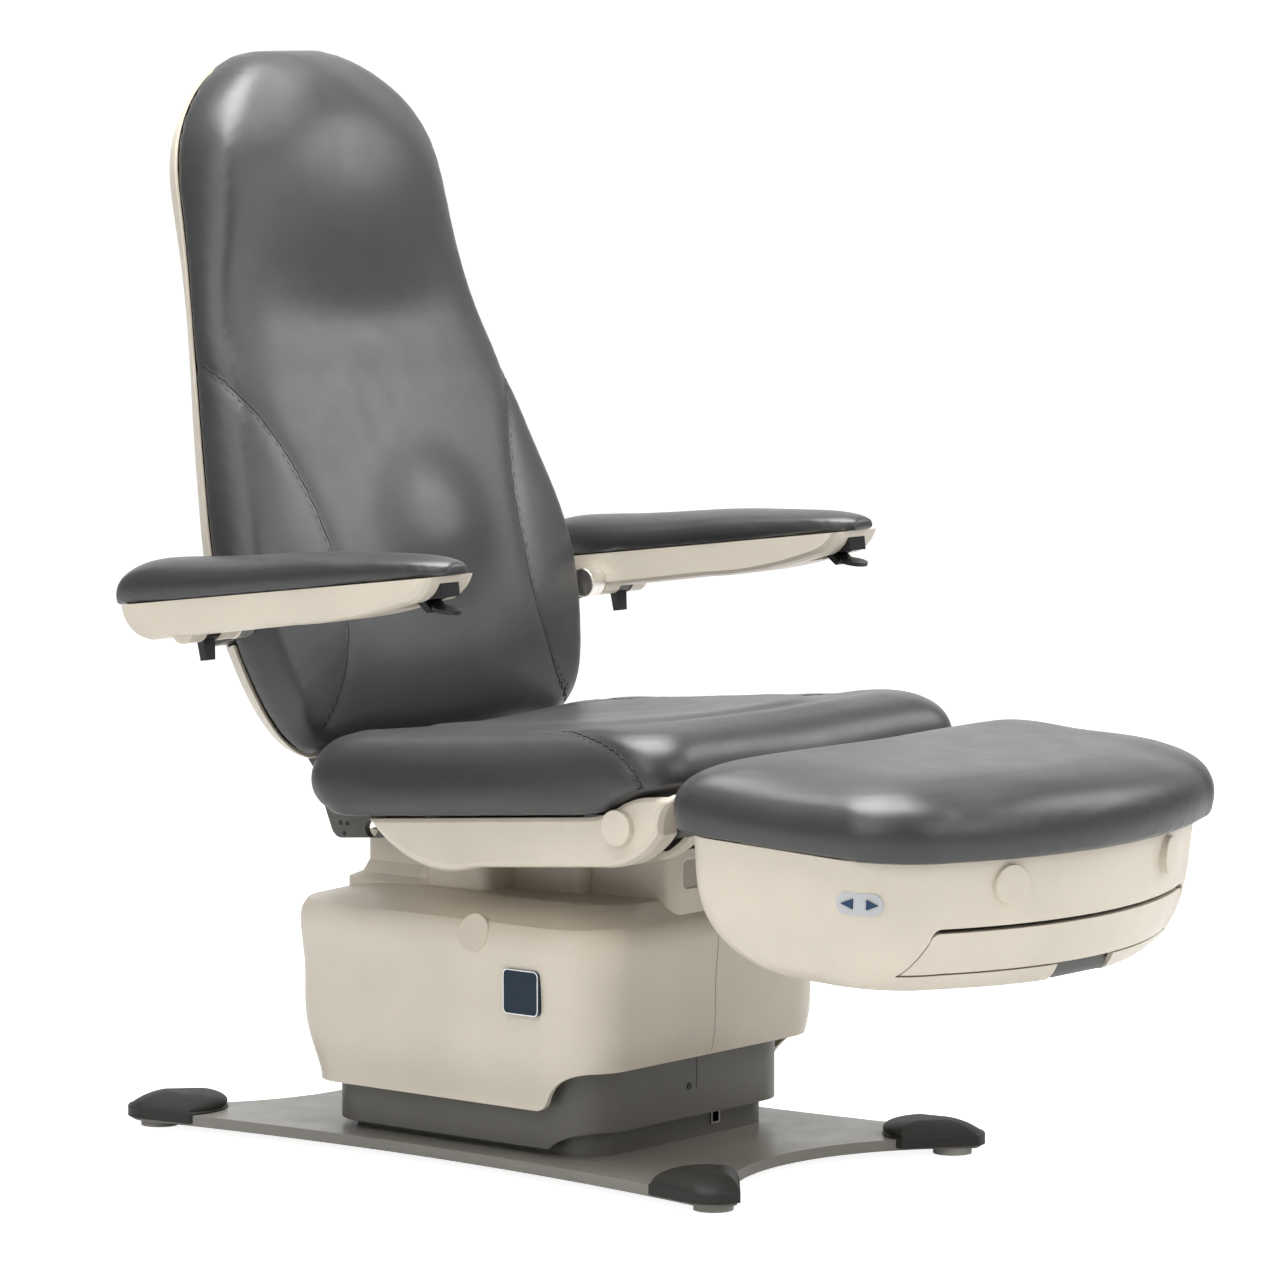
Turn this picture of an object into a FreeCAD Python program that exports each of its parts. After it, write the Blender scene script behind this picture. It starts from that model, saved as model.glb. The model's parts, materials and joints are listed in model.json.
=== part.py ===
import FreeCAD, Part
import math
import os

# Powered procedure chair, millimetres, +Z up, the patient faces -Y and the patient's right is -X.
# Lengths are laid out about the middle of the base; the export moves them to the middle of the box.

# Base: levelling feet, waisted plate and corner covers
FOOT_X = 207.0
FOOT_Y = 391.0
FOOT_R = 21.0
FOOT_H = 8.0
STEM_R = 6.0
STEM_UP = 8.0
STEM_GAP = 0.1
PLATE_T = 12.0
LOBE_R = 31.0
WAIST_X = 205.0
WAIST_FRONT_Y = 322.0
WAIST_REAR_Y = 305.0
GUARD_WALL = 4.5
GUARD_RISE = 18.0
GUARD_SKIRT = 9.0
GUARD_LIP = 3.0
GUARD_RIDGE = 12.0
GUARD_REACH = 66.0
# height share above the lip and size share of each level of the hood
GUARD_LEVEL_SHARES = ((0.0, 0.96), (0.4, 0.9), (0.75, 0.72), (1.0, 0.4))
GUARD_LIP_SHARE = 0.97
GUARD_INNER_SHARE = 0.8

# Four nested covers, from the plate up to the carriage
COVER_Y = -10.0
COVER_WALL = 3.5
COVER_STEP = 8.5
MID_HX = 172.0
MID_HY = 193.0
MID_R = 55.0
MID_BOTTOM = 28.0
MID_ARCH = 48.0
MID_TOP = 268.0
SECOND_BOTTOM = 30.0
SECOND_ARCH = 62.0
SECOND_TOP = 246.0
LOWER_TOP = 226.0
# Glide pads between the covers
GUIDE_GAP = 0.3
GUIDE_W = 60.0
GUIDE_H = 16.0
MAIN_HX = 214.0
MAIN_HY = 223.0
MAIN_R = 70.0
MAIN_BOTTOM = 72.0
MAIN_ARCH = 117.0
MAIN_SHOULDER = 270.0
MAIN_TOP = 288.0
MAIN_WALL = 4.0
# height share from bottom to shoulder, and share of the inward draw at that height
MAIN_DRAW = 22.0
MAIN_LEVEL_SHARES = ((0.0, 1.0), (0.2, 0.55), (0.5, 0.2), (0.86, 0.0), (0.95, 0.1), (1.0, 0.42))
SHOULDER_IN = 62.0
ARCH_TIP_RUN = 61.0
ARCH_END_RUN = 4.0
ARCH_TIP_SHARE = 0.22

# Tower of the carriage cover, below the seat
TOWER_TOP = 341.0
TOWER_REAR_HX = 127.0
TOWER_REAR_Y0 = 60.0
TOWER_REAR_Y1 = 158.0
TOWER_MID_HX = 133.0
TOWER_MID_Y0 = -18.0
TOWER_MID_Y1 = 70.0
TOWER_FRONT_HX = 82.0
TOWER_FRONT_Y0 = -110.0
TOWER_NOSE_HX = 63.0
TOWER_NOSE_Y0 = -221.0
TOWER_R = 14.0
TOWER_FLARE = 26.0
TOWER_FLARE_RISE = 20.0
WINDOW_HX = 51.0
WINDOW_Z0 = 294.0
WINDOW_Z1 = 335.0
WINDOW_R = 12.0
WINDOW_RIM = 5.0
WINDOW_DEEP = 6.0
WINDOW_PROUD = 0.3

# Lift column of three square tubes on one centre line
TUBE_SIDE = 150.0
TUBE_WALL = 5.0
TUBE_GAP = 1.0
TUBE_TOP = 286.0
TUBE_STEP = 4.0
SPINDLE_R = 11.0
SPINDLE_GAP = 1.0
SPINDLE_WALL = 7.0
NUT_R = 36.0
NUT_T = 26.0
SPINDLE_TOP = 262.0

# Tilt pivot of the seat over the rear of the tower
TILT_Y = 105.0
TILT_Z = 350.0
PIN_R = 9.0
PIN_GAP = 0.05
PIN_HEAD = 4.0
PIN_HEAD_T = 5.0
YOKE_X = 100.0
YOKE_T = 8.0
YOKE_PLATE_T = 10.0
YOKE_EAR = 18.0
MOTOR_R = 17.0
MOTOR_HX = 74.0
LUG_T = 8.0
LUG_SIDE_GAP = 3.0

# Seat, laid out level and then sloped up to the front about the tilt pivot
SEAT_SLOPE = 5.0
SEAT_FLOOR = 371.0
RAIL_X = 150.0
RAIL_W = 24.0
RAIL_H = 24.0
RAIL_Y0 = -330.0
RAIL_Y1 = 112.0
CROSS_W = 46.0
FRONT_CROSS_IN = 62.0
LINK_R = 15.0
BACK_PIVOT_Y = 163.0
BACK_PIVOT_Z = 402.0
BACK_LUG_X = 172.0
LEG_PIVOT_Y = -371.0
LEG_PIVOT_Z = 362.0
LEG_LUG_X = 214.0
LUG_R = 20.0
PIVOT_EYE_R = 17.0
SEAT_HX = 274.0
SEAT_Y0 = -384.0
SEAT_Y1 = 139.0
REAR_RUN = 88.0
REAR_RISE = 42.0
SEAT_R = 62.0
SEAT_THICK = 86.0
SEAT_GAP = 0.5
# height share, inset of sides, of front and of rear as shares of the cushion height
SEAT_LEVEL_SHARES = (
    (0.0, 0.16, 0.14, 0.2),
    (0.14, 0.05, 0.03, 0.06),
    (0.42, 0.0, 0.0, 0.0),
    (0.7, 0.05, 0.09, 0.05),
    (0.9, 0.2, 0.33, 0.18),
    (0.98, 0.48, 0.75, 0.42),
    (1.0, 1.1, 1.4, 1.0),
)
STEP_UP = 20.0
STEP_Y0 = -345.0
STEP_Y1 = -262.0
HULL_X0 = 172.0
HULL_X1 = 252.0
HULL_EDGE = 9.0
HULL_WALL = 3.5
# hull side outline as shares of its length (from the rear) and depth (below the cushion)
HULL_LENGTH = 400.0
HULL_DEPTH = 55.0
HULL_Y1 = 44.0
HULL_CAP_Y = -305.0
HULL_CAP_Z = 358.0
HULL_CAP_R = 19.0
CAP_R = 20.0
CAP_PROUD = 2.5
PLUG_PROUD = 4.5
HULL_PLUG_PROUD = 8.0
PLUG_EDGE = 1.4
CAP_DEEP = 9.0

# Back, laid out upright about its pivot and then leaned
BACK_LEAN = 17.0
BACK_LENGTH = 820.0
BACK_HX = 278.0
BACK_FRONT = 63.0
BACK_REAR = 8.0
BOARD_TRIM = 1.0
SHELL_DEEP = 44.0
SHELL_WALL = 4.0
SHELL_IN = 5.0
# share of length, share of half width, share of front depth
BACK_STATION_SHARES = (
    (0.036, 0.70, 0.52),
    (0.06, 0.815, 0.80),
    (0.15, 0.945, 1.0),
    (0.29, 1.0, 1.05),
    (0.42, 0.94, 0.96),
    (0.55, 0.86, 0.86),
    (0.67, 0.785, 0.82),
    (0.77, 0.73, 0.96),
    (0.85, 0.685, 1.02),
    (0.91, 0.59, 0.96),
    (0.955, 0.455, 0.80),
    (0.984, 0.32, 0.56),
    (0.997, 0.145, 0.30),
)
CROWN_SHARE = 0.22
SIDE_ROLL = 15.0
REAR_ROLL_SHARE = 0.4
UPRIGHT_X = 120.0
UPRIGHT_W = 34.0
UPRIGHT_T = 12.0
UPRIGHT_TOP_SHARE = 0.72
ARM_TUBE_W = 30.0

# Arms, laid out level about the axle and then raised to the front
ARM_X = 345.0
AXLE_Y = 190.0
AXLE_Z = 577.0
AXLE_R = 11.0
AXLE_GAP = 0.05
AXLE_IN = 291.0
AXLE_PLATE = 8.0
HUB_R = 16.0
ARM_RISE = 7.2
ARM_FRONT = 364.0
ARM_REAR = 110.0
ARM_HX = 43.0
ARM_SHELL_HX = 39.0
ARM_LINE = 31.0
ARM_SHELL_DEEP = 40.0
ARM_SHELL_WALL = 4.0
ARM_SHELL_EDGE = 9.0
PAD_REAR_H = 50.0
PAD_FRONT_H = 26.0
PAD_TIP_H = 9.0
# length share from the rear, width share, height share
PAD_STATION_SHARES = (
    (0.0, 0.42, 0.3),
    (0.03, 0.68, 0.62),
    (0.09, 0.9, 0.9),
    (0.2, 1.0, 1.0),
    (0.5, 1.0, 1.0),
    (0.75, 0.94, 1.0),
    (0.9, 0.82, 0.84),
    (0.97, 0.6, 0.56),
    (1.0, 0.36, 0.26),
)
LEVER_SLOT_HX = 15.0
LEVER_PIVOT_RUN = 310.0
LEVER_DROP = 14.0
LEVER_ARM = 40.0
LEVER_T = 7.0
PADDLE_R = 16.0
PADDLE_T = 4.0
LEVER_PIN_R = 3.0
EAR_T = 8.0
TAB_HX = 11.0
TAB_T = 9.0
TAB_DROP = 40.0
TAB_GAP = 0.6
TAB_FOOT_SHARE = 0.62

# Leg section, laid out level about its pivot and then dropped a little to the front
LEG_DROP = 2.4
LEG_HX = 297.0
LEG_REAR = -386.0
LEG_FRONT = -758.0
LEG_FLOOR = 401.0
LEG_THICK = 75.0
LEG_R = 38.0
LEG_CORNER_RUN = 126.0
LEG_BOW = 44.0
LEG_BOW_SHARE = 0.74
LEG_BULGE = 17.0
LEG_LEVEL_SHARES = (
    (0.0, 0.08),
    (0.14, 0.03),
    (0.45, 0.0),
    (0.72, 0.1),
    (0.9, 0.34),
    (0.98, 0.7),
    (1.0, 1.1),
)
TUB_DEEP = 138.0
TUB_HX = 285.0
TUB_REAR = -407.0
TUB_FRONT = -739.0
TUB_WALL = 4.0
# depth share below the cushion, inset at the sides, at the rear and at the front as shares of the depth
TUB_LEVEL_SHARES = (
    (0.0, 0.0, 0.0, 0.02),
    (0.5, 0.03, 0.07, 0.06),
    (0.76, 0.1, 0.22, 0.11),
    (0.93, 0.22, 0.45, 0.18),
    (1.0, 0.38, 0.75, 0.27),
)
TUB_CAP_X = 138.0
TUB_CAP_Z = 375.0
TUB_CAP_TURN = 20.0
DRAWER_HX = 214.0
DRAWER_SPREAD = 20.0
DRAWER_CORNER = 10.0
DRAWER_Z0 = 284.0
DRAWER_Z1 = 330.0
DRAWER_TOP_GAP = 5.0
DRAWER_FACE_Y = -650.0
DRAWER_BACK_Y = -490.0
DRAWER_GAP = 2.0
DRAWER_WALL = 4.0
DRAWER_SIDE_IN = 14.0
HANDLE_GAP = 3.0
RUNNER_X = 150.0
RUNNER_W = 10.0
HANDLE_HX = 46.0
HANDLE_DROP = 19.0
HANDLE_T = 34.0
HANDLE_IN = 31.0
HANDLE_Y = TUB_FRONT + HANDLE_IN
LEG_BEAM_X = 200.0
LEG_BEAM_T = 8.0
LEG_BEAM_H = 20.0
LEG_BEAM_Y = -600.0
LEG_SLOT_GAP = 3.0
EXT_MOTOR_R = 16.0
EXT_MOTOR_LENGTH = 120.0
PANEL_Y = -633.0
PANEL_Z = 358.0
PANEL_R = 11.5
PANEL_HALF = 12.5
PANEL_OUT = 0.9
PANEL_DEEP = 8.0
BUTTON_R = 5.2
BUTTON_TIP_SHARE = 1.3
BUTTON_TAIL_SHARE = 1.05
BUTTON_PROUD = 1.4
BUTTON_GAP = 0.4

# Small fittings of the base and covers
CAP_Y = -71.0
BADGE_Y = -138.0
BADGE_Z = 201.0
BADGE_SIDE = 48.0
BADGE_R = 6.0
BADGE_PROUD = 1.2
JACK_PROUD = 1.2
JACK_X = 52.0
JACK_Z = 38.0
JACK_SIDE = 14.0
JACK_DEEP = 16.0
LIFT_MOTOR_R = 34.0
LIFT_MOTOR_LENGTH = 110.0
BOX_W = 70.0
BOX_L = 180.0
BOX_H = 120.0

PLATE_Z0 = FOOT_H
PLATE_Z1 = FOOT_H + PLATE_T
REACH_FRONT = -LEG_FRONT
REACH_REAR = 445.4
SHIFT_Y = (REACH_FRONT - REACH_REAR) / 2


def vec(x, y, z):
    return FreeCAD.Vector(x, y, z)


def box(x0, x1, y0, y1, z0, z1):
    return Part.makeBox(x1 - x0, y1 - y0, z1 - z0, vec(x0, y0, z0))


def rod(start, direction, radius, length):
    return Part.makeCylinder(radius, length, start, direction)


def path(points, place):
    """A closed wire: a pair is a line to that point, a four is an arc by a middle point to an end."""
    edges = []
    last = place(*points[0])
    for point in points[1:]:
        if len(point) == 2:
            end = place(*point)
            edges.append(Part.makeLine(last, end))
        else:
            end = place(*point[2:])
            edges.append(Part.Arc(last, place(*point[:2]), end).toShape())
        last = end
    return Part.Wire(edges)


def slab(points, place, direction):
    return Part.Face(path(points, place)).extrude(direction)


def rect_points(hx, y0, y1, r):
    k = r * (1 - math.sqrt(0.5))
    return (
        (hx - r, y0),
        (hx - k, y0 + k, hx, y0 + r),
        (hx, y1 - r),
        (hx - k, y1 - k, hx - r, y1),
        (-hx + r, y1),
        (-hx + k, y1 - k, -hx, y1 - r),
        (-hx, y0 + r),
        (-hx + k, y0 + k, -hx + r, y0),
        (hx - r, y0),
    )


def rect_wire(hx, y0, y1, r, z):
    return path(rect_points(hx, y0, y1, r), lambda x, y: vec(x, y, z))


def loft(wires):
    return Part.makeLoft(wires, True, False)


def plate_points(grow):
    x = FOOT_X + LOBE_R + grow
    y = FOOT_Y + LOBE_R + grow
    k = (LOBE_R + grow) * math.sqrt(0.5)
    return (
        (FOOT_X, -y),
        (FOOT_X + k, -FOOT_Y - k, x, -FOOT_Y),
        (WAIST_X + grow, 0, x, FOOT_Y),
        (FOOT_X + k, FOOT_Y + k, FOOT_X, y),
        (0, WAIST_REAR_Y + grow, -FOOT_X, y),
        (-FOOT_X - k, FOOT_Y + k, -x, FOOT_Y),
        (-WAIST_X - grow, 0, -x, -FOOT_Y),
        (-FOOT_X - k, -FOOT_Y - k, -FOOT_X, -y),
        (0, -WAIST_FRONT_Y - grow, FOOT_X, -y),
    )


def base_plate():
    plate = slab(plate_points(0), lambda x, y: vec(x, y, PLATE_Z0), vec(0, 0, PLATE_T))
    for sx in (-1, 1):
        for sy in (-1, 1):
            at = vec(sx * FOOT_X, sy * FOOT_Y, 0)
            hole = rod(at, vec(0, 0, 1), STEM_R + STEM_GAP, PLATE_Z1 + PLATE_T)
            plate = plate.cut(hole)
    return plate


def levelling_foot(sx, sy):
    at = vec(sx * FOOT_X, sy * FOOT_Y, 0)
    pad = rod(at, vec(0, 0, 1), FOOT_R, FOOT_H)
    stem = rod(at, vec(0, 0, 1), STEM_R, PLATE_Z1 + STEM_UP)
    return pad.fuse(stem).removeSplitter()


def guard_wire(sx, sy, share, shift, z):
    """Outline of a corner cover: round outside, drawn in towards the middle of the plate."""
    grow = GUARD_WALL
    k = (LOBE_R + grow) * math.sqrt(0.5)
    ax = WAIST_X + grow + (FOOT_X + LOBE_R - WAIST_X) * ((FOOT_Y - GUARD_REACH) / FOOT_Y) ** 2
    ay = FOOT_Y - GUARD_REACH
    bx = FOOT_X - GUARD_REACH
    waist = WAIST_FRONT_Y if sy < 0 else WAIST_REAR_Y
    by = waist + grow + (FOOT_Y + LOBE_R - waist) * (bx / FOOT_X) ** 2
    inner = GUARD_REACH * GUARD_INNER_SHARE

    def place(x, y):
        px = FOOT_X - shift + (x - FOOT_X) * share
        py = FOOT_Y - shift + (y - FOOT_Y) * share
        return vec(sx * px, sy * py, z)

    points = (
        (ax, ay),
        (FOOT_X + LOBE_R + grow, FOOT_Y),
        (FOOT_X + k, FOOT_Y + k, FOOT_X, FOOT_Y + LOBE_R + grow),
        (bx, by),
        (FOOT_X - inner, FOOT_Y - inner, ax, ay),
    )
    return path(points, place)


def foot_guard(sx, sy):
    """Moulded corner cover: a lip around the plate's edge and a low hood over the levelling stem."""
    low = PLATE_Z1 - GUARD_SKIRT
    lip = PLATE_Z1 + GUARD_LIP
    rim = [
        guard_wire(sx, sy, 1.0, 0, low),
        guard_wire(sx, sy, 1.0, 0, lip - GUARD_LIP / 2),
        guard_wire(sx, sy, GUARD_LIP_SHARE, 0, lip),
    ]
    skirt = Part.makeLoft(rim, True, True)
    wires = []
    for level, share in GUARD_LEVEL_SHARES:
        z = lip - GUARD_LIP / 2 + level * (GUARD_RISE - GUARD_LIP / 2)
        wires.append(guard_wire(sx, sy, share, level * GUARD_RIDGE, z))
    body = skirt.fuse(loft(wires)).removeSplitter()
    under = slab(plate_points(0), lambda x, y: vec(x, y, 0), vec(0, 0, PLATE_Z1))
    deep = PLATE_Z1 + STEM_UP + STEM_GAP
    well = rod(vec(sx * FOOT_X, sy * FOOT_Y, 0), vec(0, 0, 1), STEM_R + STEM_GAP * 2, deep)
    return body.cut(under).cut(well)


def arch_cut(face_y, bottom, arch):
    """Space below the raised front edge of a cover, swept across its width."""
    rise = arch - bottom
    tip = rise * ARCH_TIP_SHARE
    y1 = face_y + ARCH_TIP_RUN
    y0 = face_y + ARCH_END_RUN
    bend_y = y1 - tip / 2
    bend_z = bottom + tip
    points = (
        (y1 + tip, bottom - rise),
        (y1 + tip, bottom),
        (y1 + tip / 10, bottom + tip * 0.35, bend_y, bend_z),
        (y0 + (bend_y - y0) * 0.62, bend_z + (arch - bend_z) * 0.66, y0, arch),
        (face_y - ARCH_TIP_RUN, arch),
        (face_y - ARCH_TIP_RUN, bottom - rise),
        (y1 + tip, bottom - rise),
    )
    width = 2 * (MAIN_HX + MAIN_R)
    return slab(points, lambda y, z: vec(-width / 2, y, z), vec(width, 0, 0))


def cover_guides(inset, top):
    """Glide pads on the sides of a cover, a sliding gap from the cover around it."""
    x0 = MID_HX - inset
    thick = COVER_STEP - COVER_WALL - GUIDE_GAP
    half = GUIDE_W / 2
    right = box(-x0 - thick, -x0, COVER_Y - half, COVER_Y + half, top - GUIDE_H, top)
    left = box(x0, x0 + thick, COVER_Y - half, COVER_Y + half, top - GUIDE_H, top)
    return [right, left]


def straight_cover(inset, bottom, top, arch):
    hx = MID_HX - inset
    hy = MID_HY - inset
    r = MID_R - inset
    outer = Part.Face(rect_wire(hx, COVER_Y - hy, COVER_Y + hy, r, bottom)).extrude(vec(0, 0, top - bottom))
    hx = hx - COVER_WALL
    hy = hy - COVER_WALL
    r = r - COVER_WALL
    inner = Part.Face(rect_wire(hx, COVER_Y - hy, COVER_Y + hy, r, bottom)).extrude(vec(0, 0, top - bottom))
    shell = outer.cut(inner)
    if arch:
        shell = shell.cut(arch_cut(COVER_Y - MID_HY + inset, bottom, arch))
    if inset:
        shell = shell.fuse(cover_guides(inset, top)).removeSplitter()
    return shell


def halves(shape):
    far = MAIN_HX + MAIN_R
    high = TOWER_TOP + MAIN_R
    keep = box(-far, 0, -FOOT_Y, FOOT_Y, 0, high)
    other = box(0, far, -FOOT_Y, FOOT_Y, 0, high)
    return shape.common(keep), shape.common(other)


def tower_solid(inset, extra):
    """The raised part of the carriage cover, in steps that narrow to the front."""
    top = TOWER_TOP + extra
    low = MAIN_SHOULDER - extra
    r = TOWER_R - inset
    parts = []
    rear = []
    for z, flare in (
        (low, TOWER_FLARE),
        (MAIN_TOP - inset, TOWER_FLARE),
        (MAIN_TOP + TOWER_FLARE_RISE / 3 - inset, TOWER_FLARE / 3),
        (MAIN_TOP + TOWER_FLARE_RISE, 0),
        (top, 0),
    ):
        grow = flare - inset
        hx = TOWER_REAR_HX + grow / 2
        rear.append(rect_wire(hx, TOWER_REAR_Y0 + inset, TOWER_REAR_Y1 + grow, r + flare / 2, z))
    parts.append(Part.makeLoft(rear, True, True))
    for hx, y0, y1 in (
        (TOWER_MID_HX, TOWER_MID_Y0, TOWER_MID_Y1),
        (TOWER_FRONT_HX, TOWER_FRONT_Y0, TOWER_MID_Y1),
        (TOWER_NOSE_HX, TOWER_NOSE_Y0, TOWER_MID_Y1),
    ):
        wire = rect_wire(hx - inset, y0 + inset, y1 - inset, r, low)
        parts.append(Part.Face(wire).extrude(vec(0, 0, top - low)))
    return parts[0].fuse(parts[1:])


def main_solid(inset):
    rise = MAIN_SHOULDER - MAIN_BOTTOM
    wires = []
    for level, draw in MAIN_LEVEL_SHARES:
        trim = inset + draw * MAIN_DRAW
        wires.append(
            rect_wire(
                MAIN_HX - trim,
                COVER_Y - MAIN_HY + trim,
                COVER_Y + MAIN_HY - trim,
                MAIN_R - trim,
                MAIN_BOTTOM + level * rise - (inset if level == 1.0 else 0),
            )
        )
    body = loft(wires)
    draw = MAIN_LEVEL_SHARES[-1][1]
    trim = inset + draw * MAIN_DRAW
    lid = []
    for z, extra in ((MAIN_SHOULDER - inset, 0), (MAIN_TOP - inset, SHOULDER_IN)):
        pull = trim + extra
        lid.append(
            rect_wire(
                MAIN_HX - pull,
                COVER_Y - MAIN_HY + trim + extra / 3,
                COVER_Y + MAIN_HY - pull,
                MAIN_R - trim,
                z,
            )
        )
    return body.fuse(loft(lid))


def main_cover():
    outer = main_solid(0).fuse(tower_solid(0, 0))
    inner = main_solid(MAIN_WALL).fuse(tower_solid(MAIN_WALL, MAIN_WALL))
    shell = outer.cut(inner)
    shell = shell.cut(arch_cut(COVER_Y - MAIN_HY + MAIN_DRAW, MAIN_BOTTOM, MAIN_ARCH))
    y = TOWER_NOSE_Y0
    opening = window_slab(0, y - WINDOW_DEEP, y + WINDOW_DEEP)
    x0 = MID_HX + GUIDE_GAP
    y0 = COVER_Y - GUIDE_W / 2
    z0 = MAIN_BOTTOM + GUIDE_H / 2
    right = box(-MAIN_HX, -x0, y0, y0 + GUIDE_W, z0, z0 + GUIDE_H)
    left = box(x0, MAIN_HX, y0, y0 + GUIDE_W, z0, z0 + GUIDE_H)
    guides = right.fuse(left).common(main_solid(0))
    return shell.cut(opening).fuse(guides).removeSplitter()


def window_slab(inset, y0, y1):
    hz = (WINDOW_Z1 - WINDOW_Z0) / 2 - inset
    mid = (WINDOW_Z1 + WINDOW_Z0) / 2
    points = rect_points(WINDOW_HX - inset, mid - hz, mid + hz, WINDOW_R - inset)
    return slab(points, lambda x, z: vec(x, y0, z), vec(0, y1 - y0, 0))


def window_trim():
    y = TOWER_NOSE_Y0
    ring = window_slab(0, y - WINDOW_PROUD, y + MAIN_WALL)
    return ring.cut(window_slab(WINDOW_RIM, y - WINDOW_DEEP, y + WINDOW_DEEP))


def window_panel():
    y = TOWER_NOSE_Y0
    return window_slab(WINDOW_RIM, y + WINDOW_PROUD * 4, y + MAIN_WALL)


def shoulder_cap(sx):
    """Round plug on the sloped shoulder of the carriage cover."""
    at = vec(sx * (MAIN_HX - CAP_DEEP / 3), CAP_Y, MAIN_SHOULDER - CAP_R * 0.6)
    out = vec(sx, 0, 0.28)
    out.normalize()
    start = at - out * CAP_DEEP
    return rod(start, out, CAP_R, CAP_DEEP + CAP_PROUD)


def tube(index, z0, z1):
    side = TUBE_SIDE - index * 2 * (TUBE_WALL + TUBE_GAP)
    hole = side - 2 * TUBE_WALL
    outer = box(-side / 2, side / 2, COVER_Y - side / 2, COVER_Y + side / 2, z0, z1)
    inner = box(-hole / 2, hole / 2, COVER_Y - hole / 2, COVER_Y + hole / 2, z0, z1)
    return outer.cut(inner)


def spindle():
    return rod(vec(0, COVER_Y, PLATE_Z1), vec(0, 0, 1), SPINDLE_R, SPINDLE_TOP - PLATE_Z1)


def ring(radius, hole, z0, z1):
    outer = rod(vec(0, COVER_Y, z0), vec(0, 0, 1), radius, z1 - z0)
    return outer.cut(rod(vec(0, COVER_Y, z0), vec(0, 0, 1), hole, z1 - z0))


SLEEVE_IN = SPINDLE_R + SPINDLE_GAP
SLEEVE_OUT = SLEEVE_IN + SPINDLE_WALL
MID_INNER_HALF = TUBE_SIDE / 2 - 2 * TUBE_WALL - TUBE_GAP
LAST_INNER_HALF = MID_INNER_HALF - TUBE_GAP - TUBE_WALL
TUBE_MID_Z0 = PLATE_Z1 + TUBE_STEP
TUBE_LAST_Z0 = PLATE_Z1 + 4 * TUBE_STEP


def column_middle():
    """Middle tube with a web at its foot that carries the hollow screw."""
    body = tube(1, TUBE_MID_Z0, TUBE_TOP + TUBE_STEP)
    half = MID_INNER_HALF
    web = box(-half, half, COVER_Y - half, COVER_Y + half, TUBE_MID_Z0, TUBE_MID_Z0 + 2 * TUBE_STEP)
    web = web.cut(rod(vec(0, COVER_Y, 0), vec(0, 0, 1), SLEEVE_IN, TUBE_TOP))
    return body.fuse(web).removeSplitter()


def column_inner():
    """Inner tube with a web at its foot, bored for the nut."""
    z0 = TUBE_LAST_Z0
    body = tube(2, z0, TUBE_TOP + 2 * TUBE_STEP)
    half = LAST_INNER_HALF
    web = box(-half, half, COVER_Y - half, COVER_Y + half, z0, z0 + 2 * TUBE_STEP)
    web = web.cut(rod(vec(0, COVER_Y, 0), vec(0, 0, 1), SLEEVE_OUT + SPINDLE_GAP, TUBE_TOP))
    return body.fuse(web).removeSplitter()


def tilt_yoke():
    z0 = TUBE_TOP + 2 * TUBE_STEP
    z1 = z0 + YOKE_PLATE_T
    half = TUBE_SIDE / 2
    x1 = YOKE_X + YOKE_T
    plate = box(-x1, x1, COVER_Y + half / 2, TILT_Y + YOKE_EAR, z0, z1)
    plate = plate.fuse(box(-half, half, COVER_Y - half, COVER_Y + half, z0, z1))
    pieces = []
    for sx in (-1, 1):
        x0 = YOKE_X if sx > 0 else -x1
        ear = box(x0, x0 + YOKE_T, TILT_Y - YOKE_EAR, TILT_Y + YOKE_EAR, z0, TILT_Z)
        ear = ear.fuse(rod(vec(x0, TILT_Y, TILT_Z), vec(1, 0, 0), YOKE_EAR, YOKE_T))
        pieces.append(ear)
        wall = TOWER_REAR_HX - MAIN_WALL / 2
        bx = x1 if sx > 0 else -wall
        bracket_z = MAIN_TOP + TOWER_FLARE_RISE + YOKE_T / 2
        pieces.append(box(bx, bx + wall - x1, TILT_Y - YOKE_T, TILT_Y, bracket_z, bracket_z + YOKE_T))
    body = plate.fuse(pieces).removeSplitter()
    return body.cut(rod(vec(-x1, TILT_Y, TILT_Z), vec(1, 0, 0), PIN_R, 2 * x1))


def headed_pin(x0, x1, y, z, radius):
    pin = rod(vec(x0, y, z), vec(1, 0, 0), radius, x1 - x0)
    head = rod(vec(x0 - PIN_HEAD_T, y, z), vec(1, 0, 0), radius + PIN_HEAD, PIN_HEAD_T)
    tail = rod(vec(x1, y, z), vec(1, 0, 0), radius + PIN_HEAD, PIN_HEAD_T)
    return pin.fuse([head, tail]).removeSplitter()


def bored_motor(half, y, z, radius):
    body = rod(vec(-half, y, z), vec(1, 0, 0), radius, 2 * half)
    return body.cut(rod(vec(-half, y, z), vec(1, 0, 0), PIN_R, 2 * half))


def sloped(shape):
    out = shape.copy()
    out.rotate(vec(0, TILT_Y, TILT_Z), vec(1, 0, 0), -SEAT_SLOPE)
    return out


def sloped_point(y, z):
    a = math.radians(SEAT_SLOPE)
    dy = y - TILT_Y
    dz = z - TILT_Z
    return TILT_Y + dy * math.cos(a) + dz * math.sin(a), TILT_Z - dy * math.sin(a) + dz * math.cos(a)


BACK_Y, BACK_Z = sloped_point(BACK_PIVOT_Y, BACK_PIVOT_Z)
LEG_Y, LEG_Z = sloped_point(LEG_PIVOT_Y, LEG_PIVOT_Z)


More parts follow.
